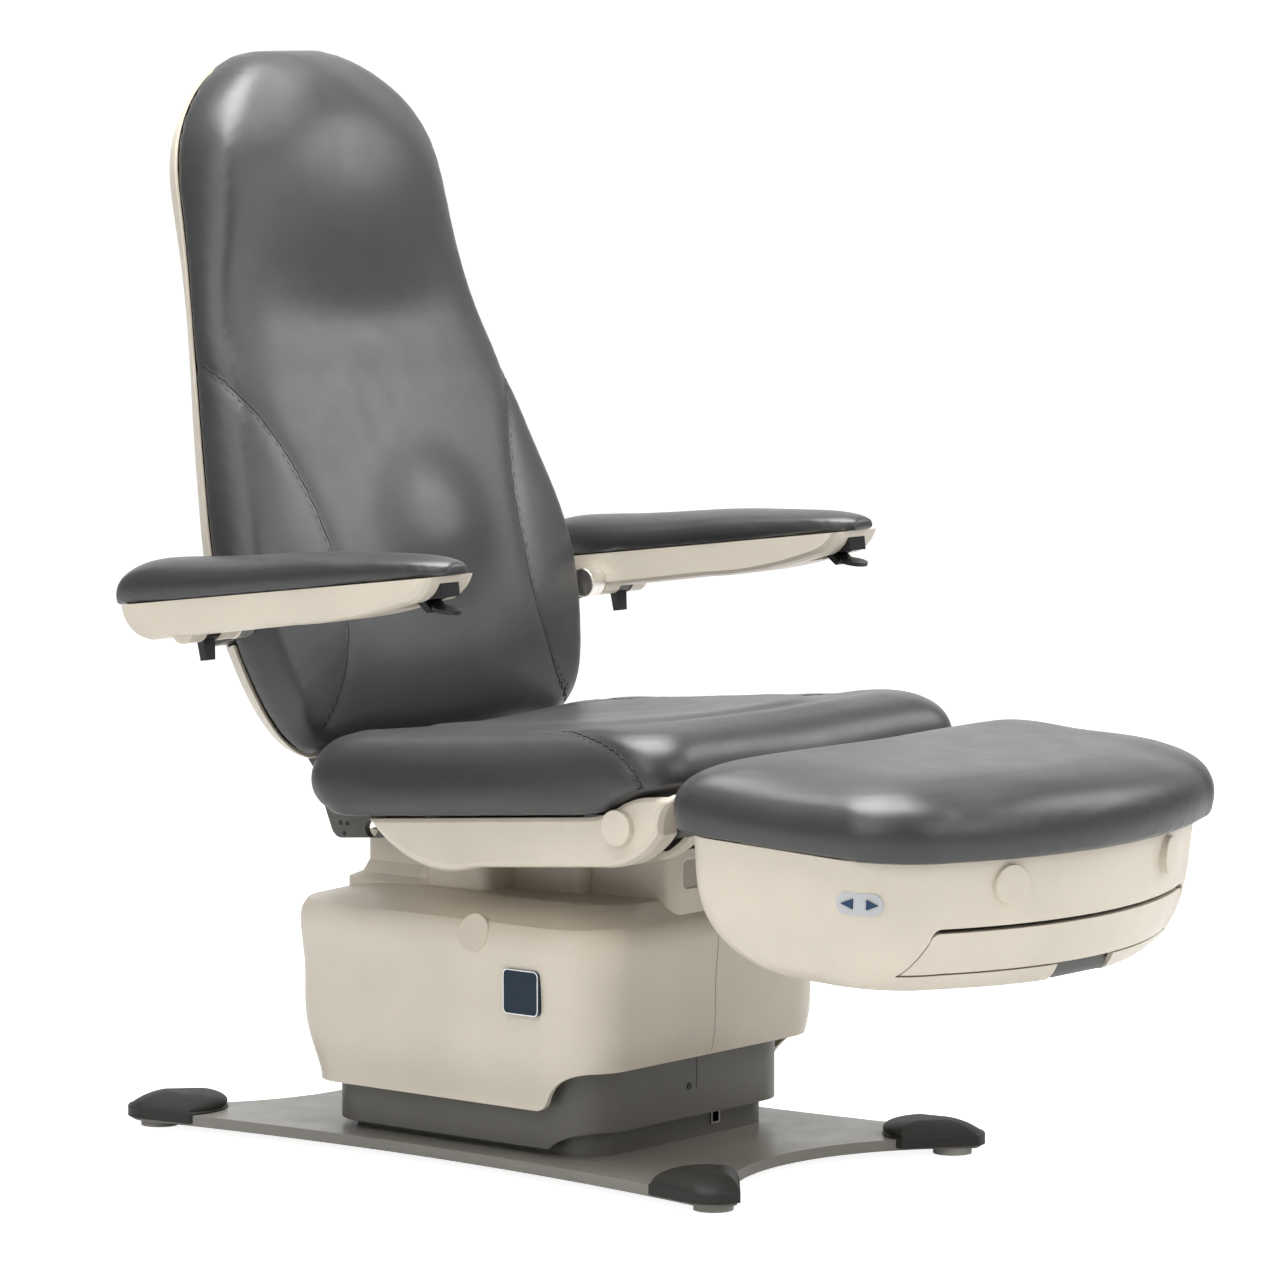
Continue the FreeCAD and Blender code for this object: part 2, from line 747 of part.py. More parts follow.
def lug(x0, width, y0, z0, y1, z1, radius):
    """Flat link plate between two rounded ends in the plane across X."""
    dy = y1 - y0
    dz = z1 - z0
    run = math.hypot(dy, dz)
    ny = -dz / run * radius
    nz = dy / run * radius
    points = (
        (y0 + ny, z0 + nz),
        (y1 + ny, z1 + nz),
        (y1 - ny, z1 - nz),
        (y0 - ny, z0 - nz),
        (y0 + ny, z0 + nz),
    )
    body = slab(points, lambda y, z: vec(x0, y, z), vec(width, 0, 0))
    ends = [rod(vec(x0, y, z), vec(1, 0, 0), radius, width) for y, z in ((y0, z0), (y1, z1))]
    return body.fuse(ends).removeSplitter()


def seat_frame():
    z1 = SEAT_FLOOR
    z0 = z1 - RAIL_H
    parts = []
    for sx in (-1, 1):
        x0 = sx * RAIL_X - RAIL_W / 2
        parts.append(box(x0, x0 + RAIL_W, RAIL_Y0, RAIL_Y1, z0, z1))
        inner = YOKE_X - LUG_SIDE_GAP - LUG_T
        lx = inner if sx > 0 else -inner - LUG_T
        parts.append(lug(lx, LUG_T, TILT_Y, TILT_Z, TILT_Y - CROSS_W, z1 - LUG_R, LUG_R))
        bx = sx * BACK_LUG_X - LUG_T / 2
        knee_y = BACK_PIVOT_Y - LINK_R
        knee_z = z1 - SEAT_GAP - LINK_R
        parts.append(lug(bx, LUG_T, BACK_PIVOT_Y, BACK_PIVOT_Z, knee_y, knee_z, LINK_R))
        parts.append(lug(bx, LUG_T, knee_y, knee_z, RAIL_Y1 - CROSS_W, knee_z, LINK_R))
        parts.append(rod(vec(bx, BACK_PIVOT_Y, BACK_PIVOT_Z), vec(1, 0, 0), PIVOT_EYE_R, LUG_T))
        fx = sx * LEG_LUG_X - LUG_T / 2
        root_y = RAIL_Y0 + FRONT_CROSS_IN
        root_z = z1 - PIVOT_EYE_R
        parts.append(lug(fx, LUG_T, LEG_PIVOT_Y, LEG_PIVOT_Z, root_y, root_z, PIVOT_EYE_R))
    far = BACK_LUG_X + LUG_T / 2
    front = HULL_X1 - HULL_WALL
    slim = RAIL_H / 2
    parts.append(box(-far, far, RAIL_Y1 - CROSS_W - slim, RAIL_Y1 - CROSS_W + slim, z1 - slim, z1))
    cross_y = RAIL_Y0 + FRONT_CROSS_IN
    parts.append(box(-front, front, cross_y - slim, cross_y + slim, z0, z1))
    parts.append(box(-RAIL_X, RAIL_X, TILT_Y - CROSS_W - slim, TILT_Y - CROSS_W + slim, z1 - slim, z1))
    body = parts[0].fuse(parts[1:]).removeSplitter()
    wide = 2 * front
    for y, z, gap in (
        (TILT_Y, TILT_Z, PIN_GAP),
        (BACK_PIVOT_Y, BACK_PIVOT_Z, 0),
        (LEG_PIVOT_Y, LEG_PIVOT_Z, 0),
    ):
        body = body.cut(rod(vec(-wide / 2, y, z), vec(1, 0, 0), PIN_R + gap, wide))
    return sloped(body)


def seat_cushion():
    wires = []
    for level, side, front, rear in SEAT_LEVEL_SHARES:
        h = SEAT_THICK
        r = SEAT_R * (1 + side / 2)
        z = SEAT_FLOOR + level * h
        wires.append(rect_wire(SEAT_HX - side * h, SEAT_Y0 + front * h, SEAT_Y1 - rear * h, r, z))
    body = loft(wires)
    mid = (STEP_Y0 + STEP_Y1) / 2
    top = SEAT_FLOOR + STEP_UP
    low = SEAT_FLOOR - STEP_UP
    q = (STEP_Y1 - STEP_Y0) / 4
    rise = STEP_UP / 8
    far = SEAT_Y0 - STEP_UP
    points = (
        (far, low),
        (STEP_Y1, low),
        (STEP_Y1, SEAT_FLOOR),
        (mid + q, SEAT_FLOOR + rise, mid, SEAT_FLOOR + STEP_UP / 2),
        (mid - q, top - rise, STEP_Y0, top),
        (far, top),
        (far, low),
    )
    wide = 2 * SEAT_HX
    body = body.cut(slab(points, lambda y, z: vec(-wide / 2, y, z), vec(wide, 0, 0)))
    start = SEAT_Y1 - REAR_RUN
    points = (
        (start, low),
        (SEAT_Y1 + REAR_RISE, low),
        (SEAT_Y1 + REAR_RISE, SEAT_FLOOR + REAR_RISE),
        (SEAT_Y1, SEAT_FLOOR + REAR_RISE),
        (SEAT_Y1 - REAR_RUN * 0.4, SEAT_FLOOR + REAR_RISE * 0.26, start, SEAT_FLOOR),
        (start, low),
    )
    body = body.cut(slab(points, lambda y, z: vec(-wide / 2, y, z), vec(wide, 0, 0)))
    return sloped(body)


def hull_points(inset, lid):
    """Side outline of the seat fairing, boat shaped, with a fin at the front."""
    top = SEAT_FLOOR - lid
    low = SEAT_FLOOR - HULL_DEPTH + inset
    y1 = HULL_Y1 - 2 * inset
    y0 = HULL_Y1 - HULL_LENGTH + inset
    fin_y = SEAT_Y0 + inset * 2
    fin_z = SEAT_FLOOR + STEP_UP - lid
    mid = (STEP_Y0 + STEP_Y1) / 2
    q = (STEP_Y1 - STEP_Y0) / 4
    rise = STEP_UP / 8
    slack = lid
    d = HULL_DEPTH
    return (
        (y1, top),
        (y1 - d * 0.85, low + d * 0.22, y1 - d * 2.6, low),
        (y0 + d * 1.45, low),
        (y0 + d * 0.5, low + d * 0.2, y0, low + d * 0.6),
        (y0 - d * 0.02, low + d * 0.85, fin_y, fin_z - d * 0.04),
        (fin_y, fin_z),
        (STEP_Y0, fin_z),
        (mid - q, fin_z - rise, mid, SEAT_FLOOR + STEP_UP / 2 - slack),
        (mid + q, SEAT_FLOOR + rise - slack, STEP_Y1, top),
        (y1, top),
    )


def hull_side(sx):
    wires = []
    for x, inset in (
        (HULL_X0, 0),
        (HULL_X1 - HULL_EDGE, 0),
        (HULL_X1 - HULL_EDGE / 4, HULL_EDGE / 4),
        (HULL_X1, HULL_EDGE * 0.7),
    ):
        wires.append(path(hull_points(inset, SEAT_GAP + inset), lambda y, z, x=x: vec(sx * x, y, z)))
    straight = Part.makeLoft(wires[:2], True, True)
    edge = Part.makeLoft(wires[1:], True, True)
    body = straight.fuse(edge)
    inner = []
    for x in (HULL_X0 - HULL_EDGE, HULL_X1 - HULL_WALL):
        inner.append(path(hull_points(HULL_WALL, -HULL_WALL), lambda y, z, x=x: vec(sx * x, y, z)))
    body = body.cut(Part.makeLoft(inner, True, True))
    x0 = LEG_BEAM_X - LEG_BEAM_T / 2 - LUG_SIDE_GAP
    wide = LEG_LUG_X + LUG_T / 2 + LUG_SIDE_GAP - x0
    x0 = x0 if sx > 0 else -x0 - wide
    z0 = SEAT_FLOOR - HULL_DEPTH
    z1 = SEAT_FLOOR + STEP_UP + LUG_T
    slot = box(x0, x0 + wide, SEAT_Y0 - LUG_R, HULL_CAP_Y, z0, z1)
    body = body.cut(slot)
    hole = rod(vec(sx * HULL_X0, HULL_CAP_Y, HULL_CAP_Z), vec(sx, 0, 0), HULL_CAP_R, HULL_X1)
    return sloped(body.cut(hole))


def rounded_plug(start, direction, radius, length):
    """Round plug with a softened outer rim."""
    body = rod(start, direction, radius, length)
    tip = start + direction * length
    rim = [edge for edge in body.Edges if (edge.CenterOfMass - tip).Length < PLUG_EDGE]
    return body.makeFillet(PLUG_EDGE, rim)


def hull_cap(sx):
    """Round plug through the fairing wall."""
    at = vec(sx * (HULL_X1 - 2 * HULL_WALL), HULL_CAP_Y, HULL_CAP_Z)
    return sloped(rounded_plug(at, vec(sx, 0, 0), HULL_CAP_R, 2 * HULL_WALL + HULL_PLUG_PROUD))


def leaned(shape):
    out = shape.copy()
    out.rotate(vec(0, 0, 0), vec(1, 0, 0), -BACK_LEAN)
    out.translate(vec(0, BACK_Y, BACK_Z))
    return out


def back_section(s, hx, front, rear, roll):
    """Crowned section across the back: flat behind, rolled sides, domed front."""
    x = hx - roll
    crown = front * CROWN_SHARE
    side = front - crown
    mid = (rear - side) / 2
    wide = hx - roll * REAR_ROLL_SHARE
    points = (
        (-wide, rear),
        (wide, rear),
        (hx, mid, x, -side),
        (0, -front, -x, -side),
        (-hx, mid, -wide, rear),
    )
    return path(points, lambda px, py: vec(px, py, s))


def back_cushion():
    wires = []
    for length, width, depth in BACK_STATION_SHARES:
        front = BACK_FRONT * depth
        rear = BACK_REAR + BOARD_TRIM
        roll = min(SIDE_ROLL, (front + rear) / 3)
        wires.append(back_section(length * BACK_LENGTH, width * BACK_HX, front, rear, roll))
    behind = box(-2 * BACK_HX, 2 * BACK_HX, BACK_REAR, BACK_REAR + BACK_HX, -BACK_HX, 2 * BACK_LENGTH)
    return leaned(loft(wires).cut(behind))


def shell_section(s, hx, front, deep, roll):
    points = (
        (-hx, front),
        (hx, front),
        (hx - roll * 0.42, front + deep * 0.6, hx - roll, front + deep),
        (0, front + deep * 1.25, -hx + roll, front + deep),
        (-hx + roll * 0.42, front + deep * 0.6, -hx, front),
    )
    return path(points, lambda px, py: vec(px, py, s))


def shell_solid(inset):
    wires = []
    last = len(BACK_STATION_SHARES) - 2
    for index, (length, width, depth) in enumerate(BACK_STATION_SHARES[:-1]):
        s = length * BACK_LENGTH
        s = s + inset if index == 0 else s
        s = s - inset if index == last else s
        deep = SHELL_DEEP * min(1.0, depth) - inset
        hx = width * BACK_HX - SHELL_IN - inset
        wires.append(shell_section(s, hx, BACK_REAR - inset * 0.2, deep, SHELL_DEEP))
    return loft(wires)


ARM_DY = AXLE_Y - BACK_Y
ARM_DZ = AXLE_Z - BACK_Z
LEAN = math.radians(BACK_LEAN)
AXLE_S = ARM_DZ * math.cos(LEAN) + ARM_DY * math.sin(LEAN)
AXLE_N = ARM_DY * math.cos(LEAN) - ARM_DZ * math.sin(LEAN)


def back_frame():
    """Uprights inside the shell, pivot lugs below and side plates that carry the arm axles."""
    y0 = BACK_REAR
    y1 = y0 + UPRIGHT_T
    low = LUG_R * 2.3
    parts = []
    for sx in (-1, 1):
        x0 = sx * UPRIGHT_X - UPRIGHT_W / 2
        parts.append(box(x0, x0 + UPRIGHT_W, y0, y1, low, BACK_LENGTH * UPRIGHT_TOP_SHARE))
        inner = BACK_LUG_X - LUG_T / 2 - LUG_SIDE_GAP - LUG_T
        lx = inner if sx > 0 else -inner - LUG_T
        link = lug(lx, LUG_T, 0, 0, y1, low, LUG_R / 1.25)
        parts.append(link)
        px = AXLE_IN - AXLE_PLATE if sx > 0 else -AXLE_IN
        parts.append(lug(px, AXLE_PLATE, AXLE_N, AXLE_S, y1 - UPRIGHT_T / 2, AXLE_S, AXLE_R * 1.4))
    far = BACK_LUG_X - LUG_T / 2 - LUG_SIDE_GAP
    parts.append(box(-far, far, y0, y1, low, low + UPRIGHT_W))
    parts.append(box(-AXLE_IN, AXLE_IN, y0, y1, AXLE_S - ARM_TUBE_W / 2, AXLE_S + ARM_TUBE_W / 2))
    body = parts[0].fuse(parts[1:]).removeSplitter()
    body = body.cut(rod(vec(-far, 0, 0), vec(1, 0, 0), PIN_R + PIN_GAP, 2 * far))
    cushion_side = box(-far, far, y0 - 2 * LUG_R, y0, LUG_R, BACK_LENGTH)
    return leaned(body.cut(cushion_side))


def back_shell():
    """Back shell opened at its sides for the cross tube and below for the pivot lugs."""
    body = shell_solid(0).cut(shell_solid(SHELL_WALL))
    gap = LUG_SIDE_GAP
    y0 = BACK_REAR
    y1 = BACK_REAR + UPRIGHT_T + gap
    z0 = AXLE_S - ARM_TUBE_W / 2 - gap
    body = body.cut(box(-BACK_HX, BACK_HX, y0, y1, z0, z0 + ARM_TUBE_W + 2 * gap))
    top = LUG_R * 2.3 + UPRIGHT_W
    for sx in (-1, 1):
        x0 = BACK_LUG_X - LUG_T * 1.5 - 2 * gap
        wide = LUG_T + 2 * gap
        x0 = x0 if sx > 0 else -x0 - wide
        body = body.cut(box(x0, x0 + wide, -BACK_REAR, y1 + LUG_R, 0, top))
    return leaned(body)


def arm_axle(sx):
    """Stub axle with a collar against its side plate and an end ring that keeps the arm on."""
    x0 = AXLE_IN
    x1 = ARM_X + ARM_SHELL_HX - 2 * ARM_SHELL_WALL
    axle = rod(vec(sx * x0, AXLE_Y, AXLE_Z), vec(sx, 0, 0), AXLE_R, x1 - x0)
    collar = rod(vec(sx * x0, AXLE_Y, AXLE_Z), vec(sx, 0, 0), AXLE_R * 1.35, AXLE_PLATE)
    return axle.fuse(collar).removeSplitter()


def raised(shape):
    out = shape.copy()
    out.rotate(vec(0, AXLE_Y, AXLE_Z), vec(1, 0, 0), -ARM_RISE)
    return out


def raised_point(run, up):
    a = math.radians(ARM_RISE)
    return AXLE_Y - run * math.cos(a) + up * math.sin(a), AXLE_Z + run * math.sin(a) + up * math.cos(a)


def arm_pad(sx):
    """Pad of a thick rear and a thin tip, crowned across."""
    length = ARM_FRONT + ARM_REAR
    z0 = AXLE_Z + ARM_LINE
    wires = []
    for share, width, height in PAD_STATION_SHARES:
        y = AXLE_Y + ARM_REAR - share * length
        hx = ARM_HX * width
        top = (PAD_REAR_H + (PAD_FRONT_H - PAD_REAR_H) * share) * height + PAD_TIP_H * (1 - height)
        points = (
            (-hx * 0.9, z0),
            (hx * 0.9, z0),
            (hx, z0 + top * 0.36, hx * 0.84, z0 + top * 0.76),
            (0, z0 + top, -hx * 0.84, z0 + top * 0.76),
            (-hx, z0 + top * 0.36, -hx * 0.9, z0),
        )
        wires.append(path(points, lambda x, z, y=y: vec(sx * ARM_X + x, y, z)))
    return raised(loft(wires))


def arm_outline(inset):
    """Side outline of the arm shell below the pad line, from the rounded rear to the tip."""
    z1 = AXLE_Z + ARM_LINE
    d = ARM_SHELL_DEEP
    rear = AXLE_Y + ARM_REAR - d * 0.62 - inset
    tip = AXLE_Y - ARM_FRONT + d * 0.3 + inset
    return (
        (rear, z1),
        (rear - d * 0.15, z1 - d * 0.5, rear - d * 0.9, z1 - d * 1.0 + inset),
        (AXLE_Y - d * 4.0, z1 - d * 0.92 + inset),
        (AXLE_Y - d * 6.4, z1 - d * 0.84 + inset, tip + d * 0.9, z1 - d * 0.62 + inset),
        (tip + d * 0.2, z1 - d * 0.34 + inset, tip, z1),
        (rear, z1),
    )


def arm_shell(sx):
    edge = ARM_SHELL_EDGE
    outer = []
    for out, inset in ((0, 0.7 * edge), (edge / 4, edge / 4), (edge, 0)):
        outer.append((ARM_SHELL_HX - out, inset))
    outer = outer + [(-hx, inset) for hx, inset in reversed(outer)]
    wires = []
    for hx, inset in outer:
        wires.append(path(arm_outline(inset), lambda y, z, hx=hx: vec(sx * ARM_X + hx, y, z)))
    body = Part.makeLoft(wires, True, True)
    room = []
    half = ARM_SHELL_HX - ARM_SHELL_WALL
    for hx in (half, -half):
        room.append(path(arm_outline(ARM_SHELL_WALL), lambda y, z, hx=hx: vec(sx * ARM_X + hx, y, z)))
    cavity = Part.makeLoft(room, True, True)
    x0 = ARM_X - ARM_SHELL_HX
    hub = rod(vec(sx * x0, AXLE_Y, AXLE_Z), vec(sx, 0, 0), HUB_R, 2 * ARM_SHELL_HX - ARM_SHELL_WALL)
    body = body.cut(cavity).fuse(hub).removeSplitter()
    deep = 2 * ARM_SHELL_HX - 2 * ARM_SHELL_WALL
    bore = rod(vec(sx * x0, AXLE_Y, AXLE_Z), vec(sx, 0, 0), AXLE_R + AXLE_GAP, deep)
    body = body.cut(bore)
    slot_y0 = AXLE_Y - LEVER_PIVOT_RUN - LEVER_ARM
    slot_y1 = AXLE_Y - LEVER_PIVOT_RUN + LEVER_ARM / 2
    z1 = AXLE_Z + ARM_LINE - LEVER_T
    x1 = sx * ARM_X
    slot = box(x1 - LEVER_SLOT_HX, x1 + LEVER_SLOT_HX, slot_y0, slot_y1, AXLE_Z - ARM_SHELL_DEEP, z1)
    room_hx = TAB_HX + TAB_GAP
    tab = box(x1 - room_hx, x1 + room_hx, AXLE_Y - TAB_T, AXLE_Y + TAB_T, AXLE_Z - TAB_DROP, AXLE_Z)
    tab = tab.fuse(rod(vec(x1 - room_hx, AXLE_Y, AXLE_Z), vec(1, 0, 0), HUB_R, 2 * room_hx))
    ear = lever_ears(sx)
    return raised(body.cut(slot).cut(tab).fuse(ear).removeSplitter())


def lever_ears(sx):
    """Pair of ears on both sides of the lever slot with a cross pin."""
    y = AXLE_Y - LEVER_PIVOT_RUN
    z = AXLE_Z + ARM_LINE - LEVER_DROP
    x = sx * ARM_X
    wide = LEVER_SLOT_HX + EAR_T
    pin = rod(vec(x - wide, y, z), vec(1, 0, 0), LEVER_PIN_R, 2 * wide)
    parts = []
    for side in (-1, 1):
        x0 = x + side * LEVER_SLOT_HX if side > 0 else x - LEVER_SLOT_HX - EAR_T
        r = 2 * LEVER_PIN_R
        parts.append(box(x0, x0 + EAR_T, y - r, y + r, z - r, AXLE_Z + ARM_LINE))
    top = AXLE_Z + ARM_LINE
    half = LEVER_SLOT_HX + EAR_T
    bridge = box(x - half, x + half, y - 2 * LEVER_PIN_R, y + LEVER_ARM, top - LEVER_T / 2, top)
    side = ARM_SHELL_HX - ARM_SHELL_WALL / 2
    wall = box(x - side, x + side, y + LEVER_ARM / 2, y + LEVER_ARM, top - LEVER_T, top)
    return pin.fuse(parts + [bridge, wall])


def arm_lever(sx):
    """Release paddle at the tip of an arm: a bored shank and a round blade."""
    y = AXLE_Y - LEVER_PIVOT_RUN
    z = AXLE_Z + ARM_LINE - LEVER_DROP
    x = sx * ARM_X
    half = LEVER_SLOT_HX - 2 * TAB_GAP
    eye = rod(vec(x - half, y, z), vec(1, 0, 0), 2 * LEVER_PIN_R, 2 * half)
    blade_y = y - LEVER_ARM * 0.45
    blade_z = z - LEVER_ARM * 0.47
    shank = lug(x - half, 2 * half, y, z - LEVER_PIN_R / 2, blade_y, blade_z, LEVER_T / 2)
    across = vec(0, -0.29, 0.95)
    across.normalize()
    centre = vec(x, y - LEVER_ARM * 0.79, z - LEVER_ARM * 0.51)
    paddle = rod(centre - across * (PADDLE_T / 2), across, PADDLE_R, PADDLE_T)
    body = eye.fuse([shank, paddle]).removeSplitter()
    return raised(body.cut(rod(vec(x - half, y, z), vec(1, 0, 0), LEVER_PIN_R + PIN_GAP, 2 * half)))


def arm_tab(sx):
    """Lock tab that hangs on the axle, inside a slot of the hub."""
    x = sx * ARM_X
    ring_out = rod(vec(x - TAB_HX, AXLE_Y, AXLE_Z), vec(1, 0, 0), HUB_R - TAB_GAP * 2, 2 * TAB_HX)
    low = AXLE_Z - TAB_DROP * 0.9
    foot = TAB_HX * TAB_FOOT_SHARE
    points = (
        (x - TAB_HX, AXLE_Z),
        (x - foot, low),
        (x + foot, low),
        (x + TAB_HX, AXLE_Z),
        (x - TAB_HX, AXLE_Z),
    )
    plate = slab(points, lambda px, pz: vec(px, AXLE_Y - TAB_T / 2, pz), vec(0, TAB_T, 0))
    body = ring_out.fuse(plate).removeSplitter()
    bore = rod(vec(x - TAB_HX, AXLE_Y, AXLE_Z), vec(1, 0, 0), AXLE_R + AXLE_GAP, 2 * TAB_HX)
    return raised(body.cut(bore))


def dropped(shape):
    out = shape.copy()
    out.rotate(vec(0, LEG_Y, LEG_Z), vec(1, 0, 0), LEG_DROP)
    return out


def leg_wire(hx, rear, front, z):
    """Plan outline of the leg section: square rear corners, full front corners, bowed front."""
    k = LEG_R * (1 - math.sqrt(0.5))
    cx = hx * LEG_BOW_SHARE
    cy = front + LEG_BOW
    sy = front + LEG_CORNER_RUN
    run = math.hypot(hx - cx, sy - cy)
    mx = (hx + cx) / 2 + LEG_BULGE * (sy - cy) / run
    my = (sy + cy) / 2 - LEG_BULGE * (hx - cx) / run
    points = (
        (hx - LEG_R, rear),
        (hx - k, rear - k, hx, rear - LEG_R),
        (hx, sy),
        (mx, my, cx, cy),
        (0, front, -cx, cy),
        (-mx, my, -hx, sy),
        (-hx, rear - LEG_R),
        (-hx + k, rear - k, -hx + LEG_R, rear),
        (hx - LEG_R, rear),
    )
    return path(points, lambda x, y: vec(x, y, z))


def leg_cushion():
    wires = []
    for level, inset in LEG_LEVEL_SHARES:
        pull = inset * LEG_THICK
        z = LEG_FLOOR + level * LEG_THICK
        wires.append(leg_wire(LEG_HX - pull, LEG_REAR - pull, LEG_FRONT + pull, z))
    return dropped(loft(wires))


def tub_solid(inset, extra):
    wires = []
    for level, side, rear, front in TUB_LEVEL_SHARES:
        z = LEG_FLOOR - level * TUB_DEEP
        z = z + extra if level == 0 else z
        z = z + inset if level > 0.8 else z
        wires.append(
            leg_wire(
                TUB_HX - side * TUB_DEEP - inset,
                TUB_REAR - rear * TUB_DEEP - inset,
                TUB_FRONT + front * TUB_DEEP + inset,
                z,
            )
        )
    return loft(wires)


def drawer_half(z):
    """Half width of the drawer's front at one height, wider towards its foot."""
    return DRAWER_HX + DRAWER_SPREAD * (DRAWER_Z1 - z) / (DRAWER_Z1 - DRAWER_Z0)


def drawer_slab(gap, z0, z1):
    """Front outline of the drawer, run back to the plane of its face."""
    r = DRAWER_CORNER
    k = r * (1 - math.sqrt(0.5))
    low = drawer_half(z0) + gap
    high = drawer_half(z1 - r) + gap
    points = (
        (-low, z0),
        (low, z0),
        (high, z1 - r),
        (high - k, z1 - k, high - r, z1),
        (-high + r, z1),
        (-high + k, z1 - k, -high, z1 - r),
        (-low, z0),
    )
    far = TUB_FRONT - LEG_BOW
    return slab(points, lambda x, z: vec(x, far, z), vec(0, DRAWER_FACE_Y + gap - far, 0))


def handle_room():
    """Notch in the foot of the tub that the drawer handle slides out of."""
    hx = HANDLE_HX + HANDLE_GAP
    y1 = HANDLE_Y + HANDLE_T + HANDLE_GAP
    return box(-hx, hx, TUB_FRONT - LEG_BOW, y1, LEG_FLOOR - 2 * TUB_DEEP, DRAWER_Z0)


def leg_tub():
    outer = tub_solid(0, 0)
    shell = outer.cut(tub_solid(TUB_WALL, TUB_WALL))
    shell = shell.cut(drawer_slab(DRAWER_GAP, DRAWER_Z0 - DRAWER_GAP, DRAWER_Z1 + DRAWER_GAP))
    shell = shell.cut(handle_room())
    parts = []
    floor = LEG_FLOOR - TUB_DEEP
    for sx in (-1, 1):
        x0 = sx * RUNNER_X - RUNNER_W / 2
        y0 = DRAWER_FACE_Y + DRAWER_GAP + RUNNER_W
        z0 = floor + TUB_WALL / 2
        parts.append(box(x0, x0 + RUNNER_W, y0, DRAWER_BACK_Y, z0, DRAWER_Z0 - DRAWER_GAP / 10))
        gap = LEG_SLOT_GAP
        bx = sx * LEG_BEAM_X
        top = LEG_FLOOR
        shell = shell.cut(
            box(
                bx - LEG_BEAM_T / 2 - gap,
                bx + LEG_BEAM_T / 2 + gap,
                TUB_REAR - TUB_DEEP / 3,
                TUB_REAR + LEG_R,
                top - LEG_BEAM_H - 2 * gap,
                top,
            )
        )
        at, direction = cap_place(sx)
        shell = shell.cut(rod(at - direction * CAP_DEEP, direction, CAP_R, 2 * CAP_DEEP))
    shell = shell.fuse(parts).removeSplitter()
    hole = turned(panel_slab(0, PANEL_X - PANEL_DEEP * 2, PANEL_X + PANEL_DEEP))
    return dropped(shell.cut(hole))


def cap_place(sx):
    """Spot and outward direction of one cap on the bowed front."""
    a = math.radians(TUB_CAP_TURN)
    direction = vec(sx * math.sin(a), -math.cos(a), 0)
    x = TUB_CAP_X
    radius_of_bow = ((TUB_HX * LEG_BOW_SHARE) ** 2 + LEG_BOW**2) / (2 * LEG_BOW)
    inset = TUB_LEVEL_SHARES[0][3] * TUB_DEEP
    y = TUB_FRONT + inset + radius_of_bow - math.sqrt(radius_of_bow**2 - x**2)
    return vec(sx * x, y, TUB_CAP_Z), direction


def tub_cap(sx):
    at, direction = cap_place(sx)
    deep = 2 * TUB_WALL
    return dropped(rounded_plug(at - direction * deep, direction, CAP_R, deep + PLUG_PROUD))


def panel_slab(grow, x0, x1):
    """Oval of the button plate on the right wall of the tub."""
    r = PANEL_R + grow
    k = r * math.sqrt(0.5)
    y0 = PANEL_Y - PANEL_HALF
    y1 = PANEL_Y + PANEL_HALF
    points = (
        (y0, PANEL_Z - r),
        (y1, PANEL_Z - r),
        (y1 + k, PANEL_Z - k, y1 + r, PANEL_Z),
        (y1 + k, PANEL_Z + k, y1, PANEL_Z + r),
        (y0, PANEL_Z + r),
        (y0 - k, PANEL_Z + k, y0 - r, PANEL_Z),
        (y0 - k, PANEL_Z - k, y0, PANEL_Z - r),
    )
    return slab(points, lambda y, z: vec(-x1, y, z), vec(x1 - x0, 0, 0))


def tub_wall(y):
    """Distance of the tub's right wall from the middle, level with the button plate."""
    line = Part.makeLine(vec(-2 * TUB_HX, y, PANEL_Z), vec(0, y, PANEL_Z))
    return -line.common(tub_solid(0, 0)).BoundBox.XMin


PANEL_X = tub_wall(PANEL_Y)
PANEL_REAR_X = tub_wall(PANEL_Y + PANEL_HALF)
PANEL_FRONT_X = tub_wall(PANEL_Y - PANEL_HALF)
PANEL_TURN = math.degrees(math.atan2(PANEL_REAR_X - PANEL_FRONT_X, 2 * PANEL_HALF))


def turned(shape):
    """Turned to the slope of the wall at the button plate."""
    out = shape.copy()
    out.rotate(vec(-PANEL_X, PANEL_Y, 0), vec(0, 0, 1), PANEL_TURN)
    return out


def button_plate():
    body = panel_slab(0, PANEL_X - PANEL_DEEP, PANEL_X + PANEL_OUT)
    for side in (-1, 1):
        body = body.cut(button_solid(side, BUTTON_GAP, PANEL_DEEP * 2))
    return dropped(turned(body))


def button_solid(side, gap, back):
    """Triangular key that points away from the middle of the plate."""
    r = BUTTON_R + gap
    y = PANEL_Y + side * PANEL_HALF
    points = (
        (y + side * r * BUTTON_TIP_SHARE, PANEL_Z),
        (y - side * r * BUTTON_TAIL_SHARE, PANEL_Z + r),
        (y - side * r * BUTTON_TAIL_SHARE, PANEL_Z - r),
        (y + side * r * BUTTON_TIP_SHARE, PANEL_Z),
    )
    x1 = PANEL_X + PANEL_OUT + BUTTON_PROUD
    return slab(points, lambda py, pz: vec(-x1, py, pz), vec(back, 0, 0))


def button(side):
    return dropped(turned(button_solid(side, 0, PANEL_DEEP + BUTTON_PROUD)))


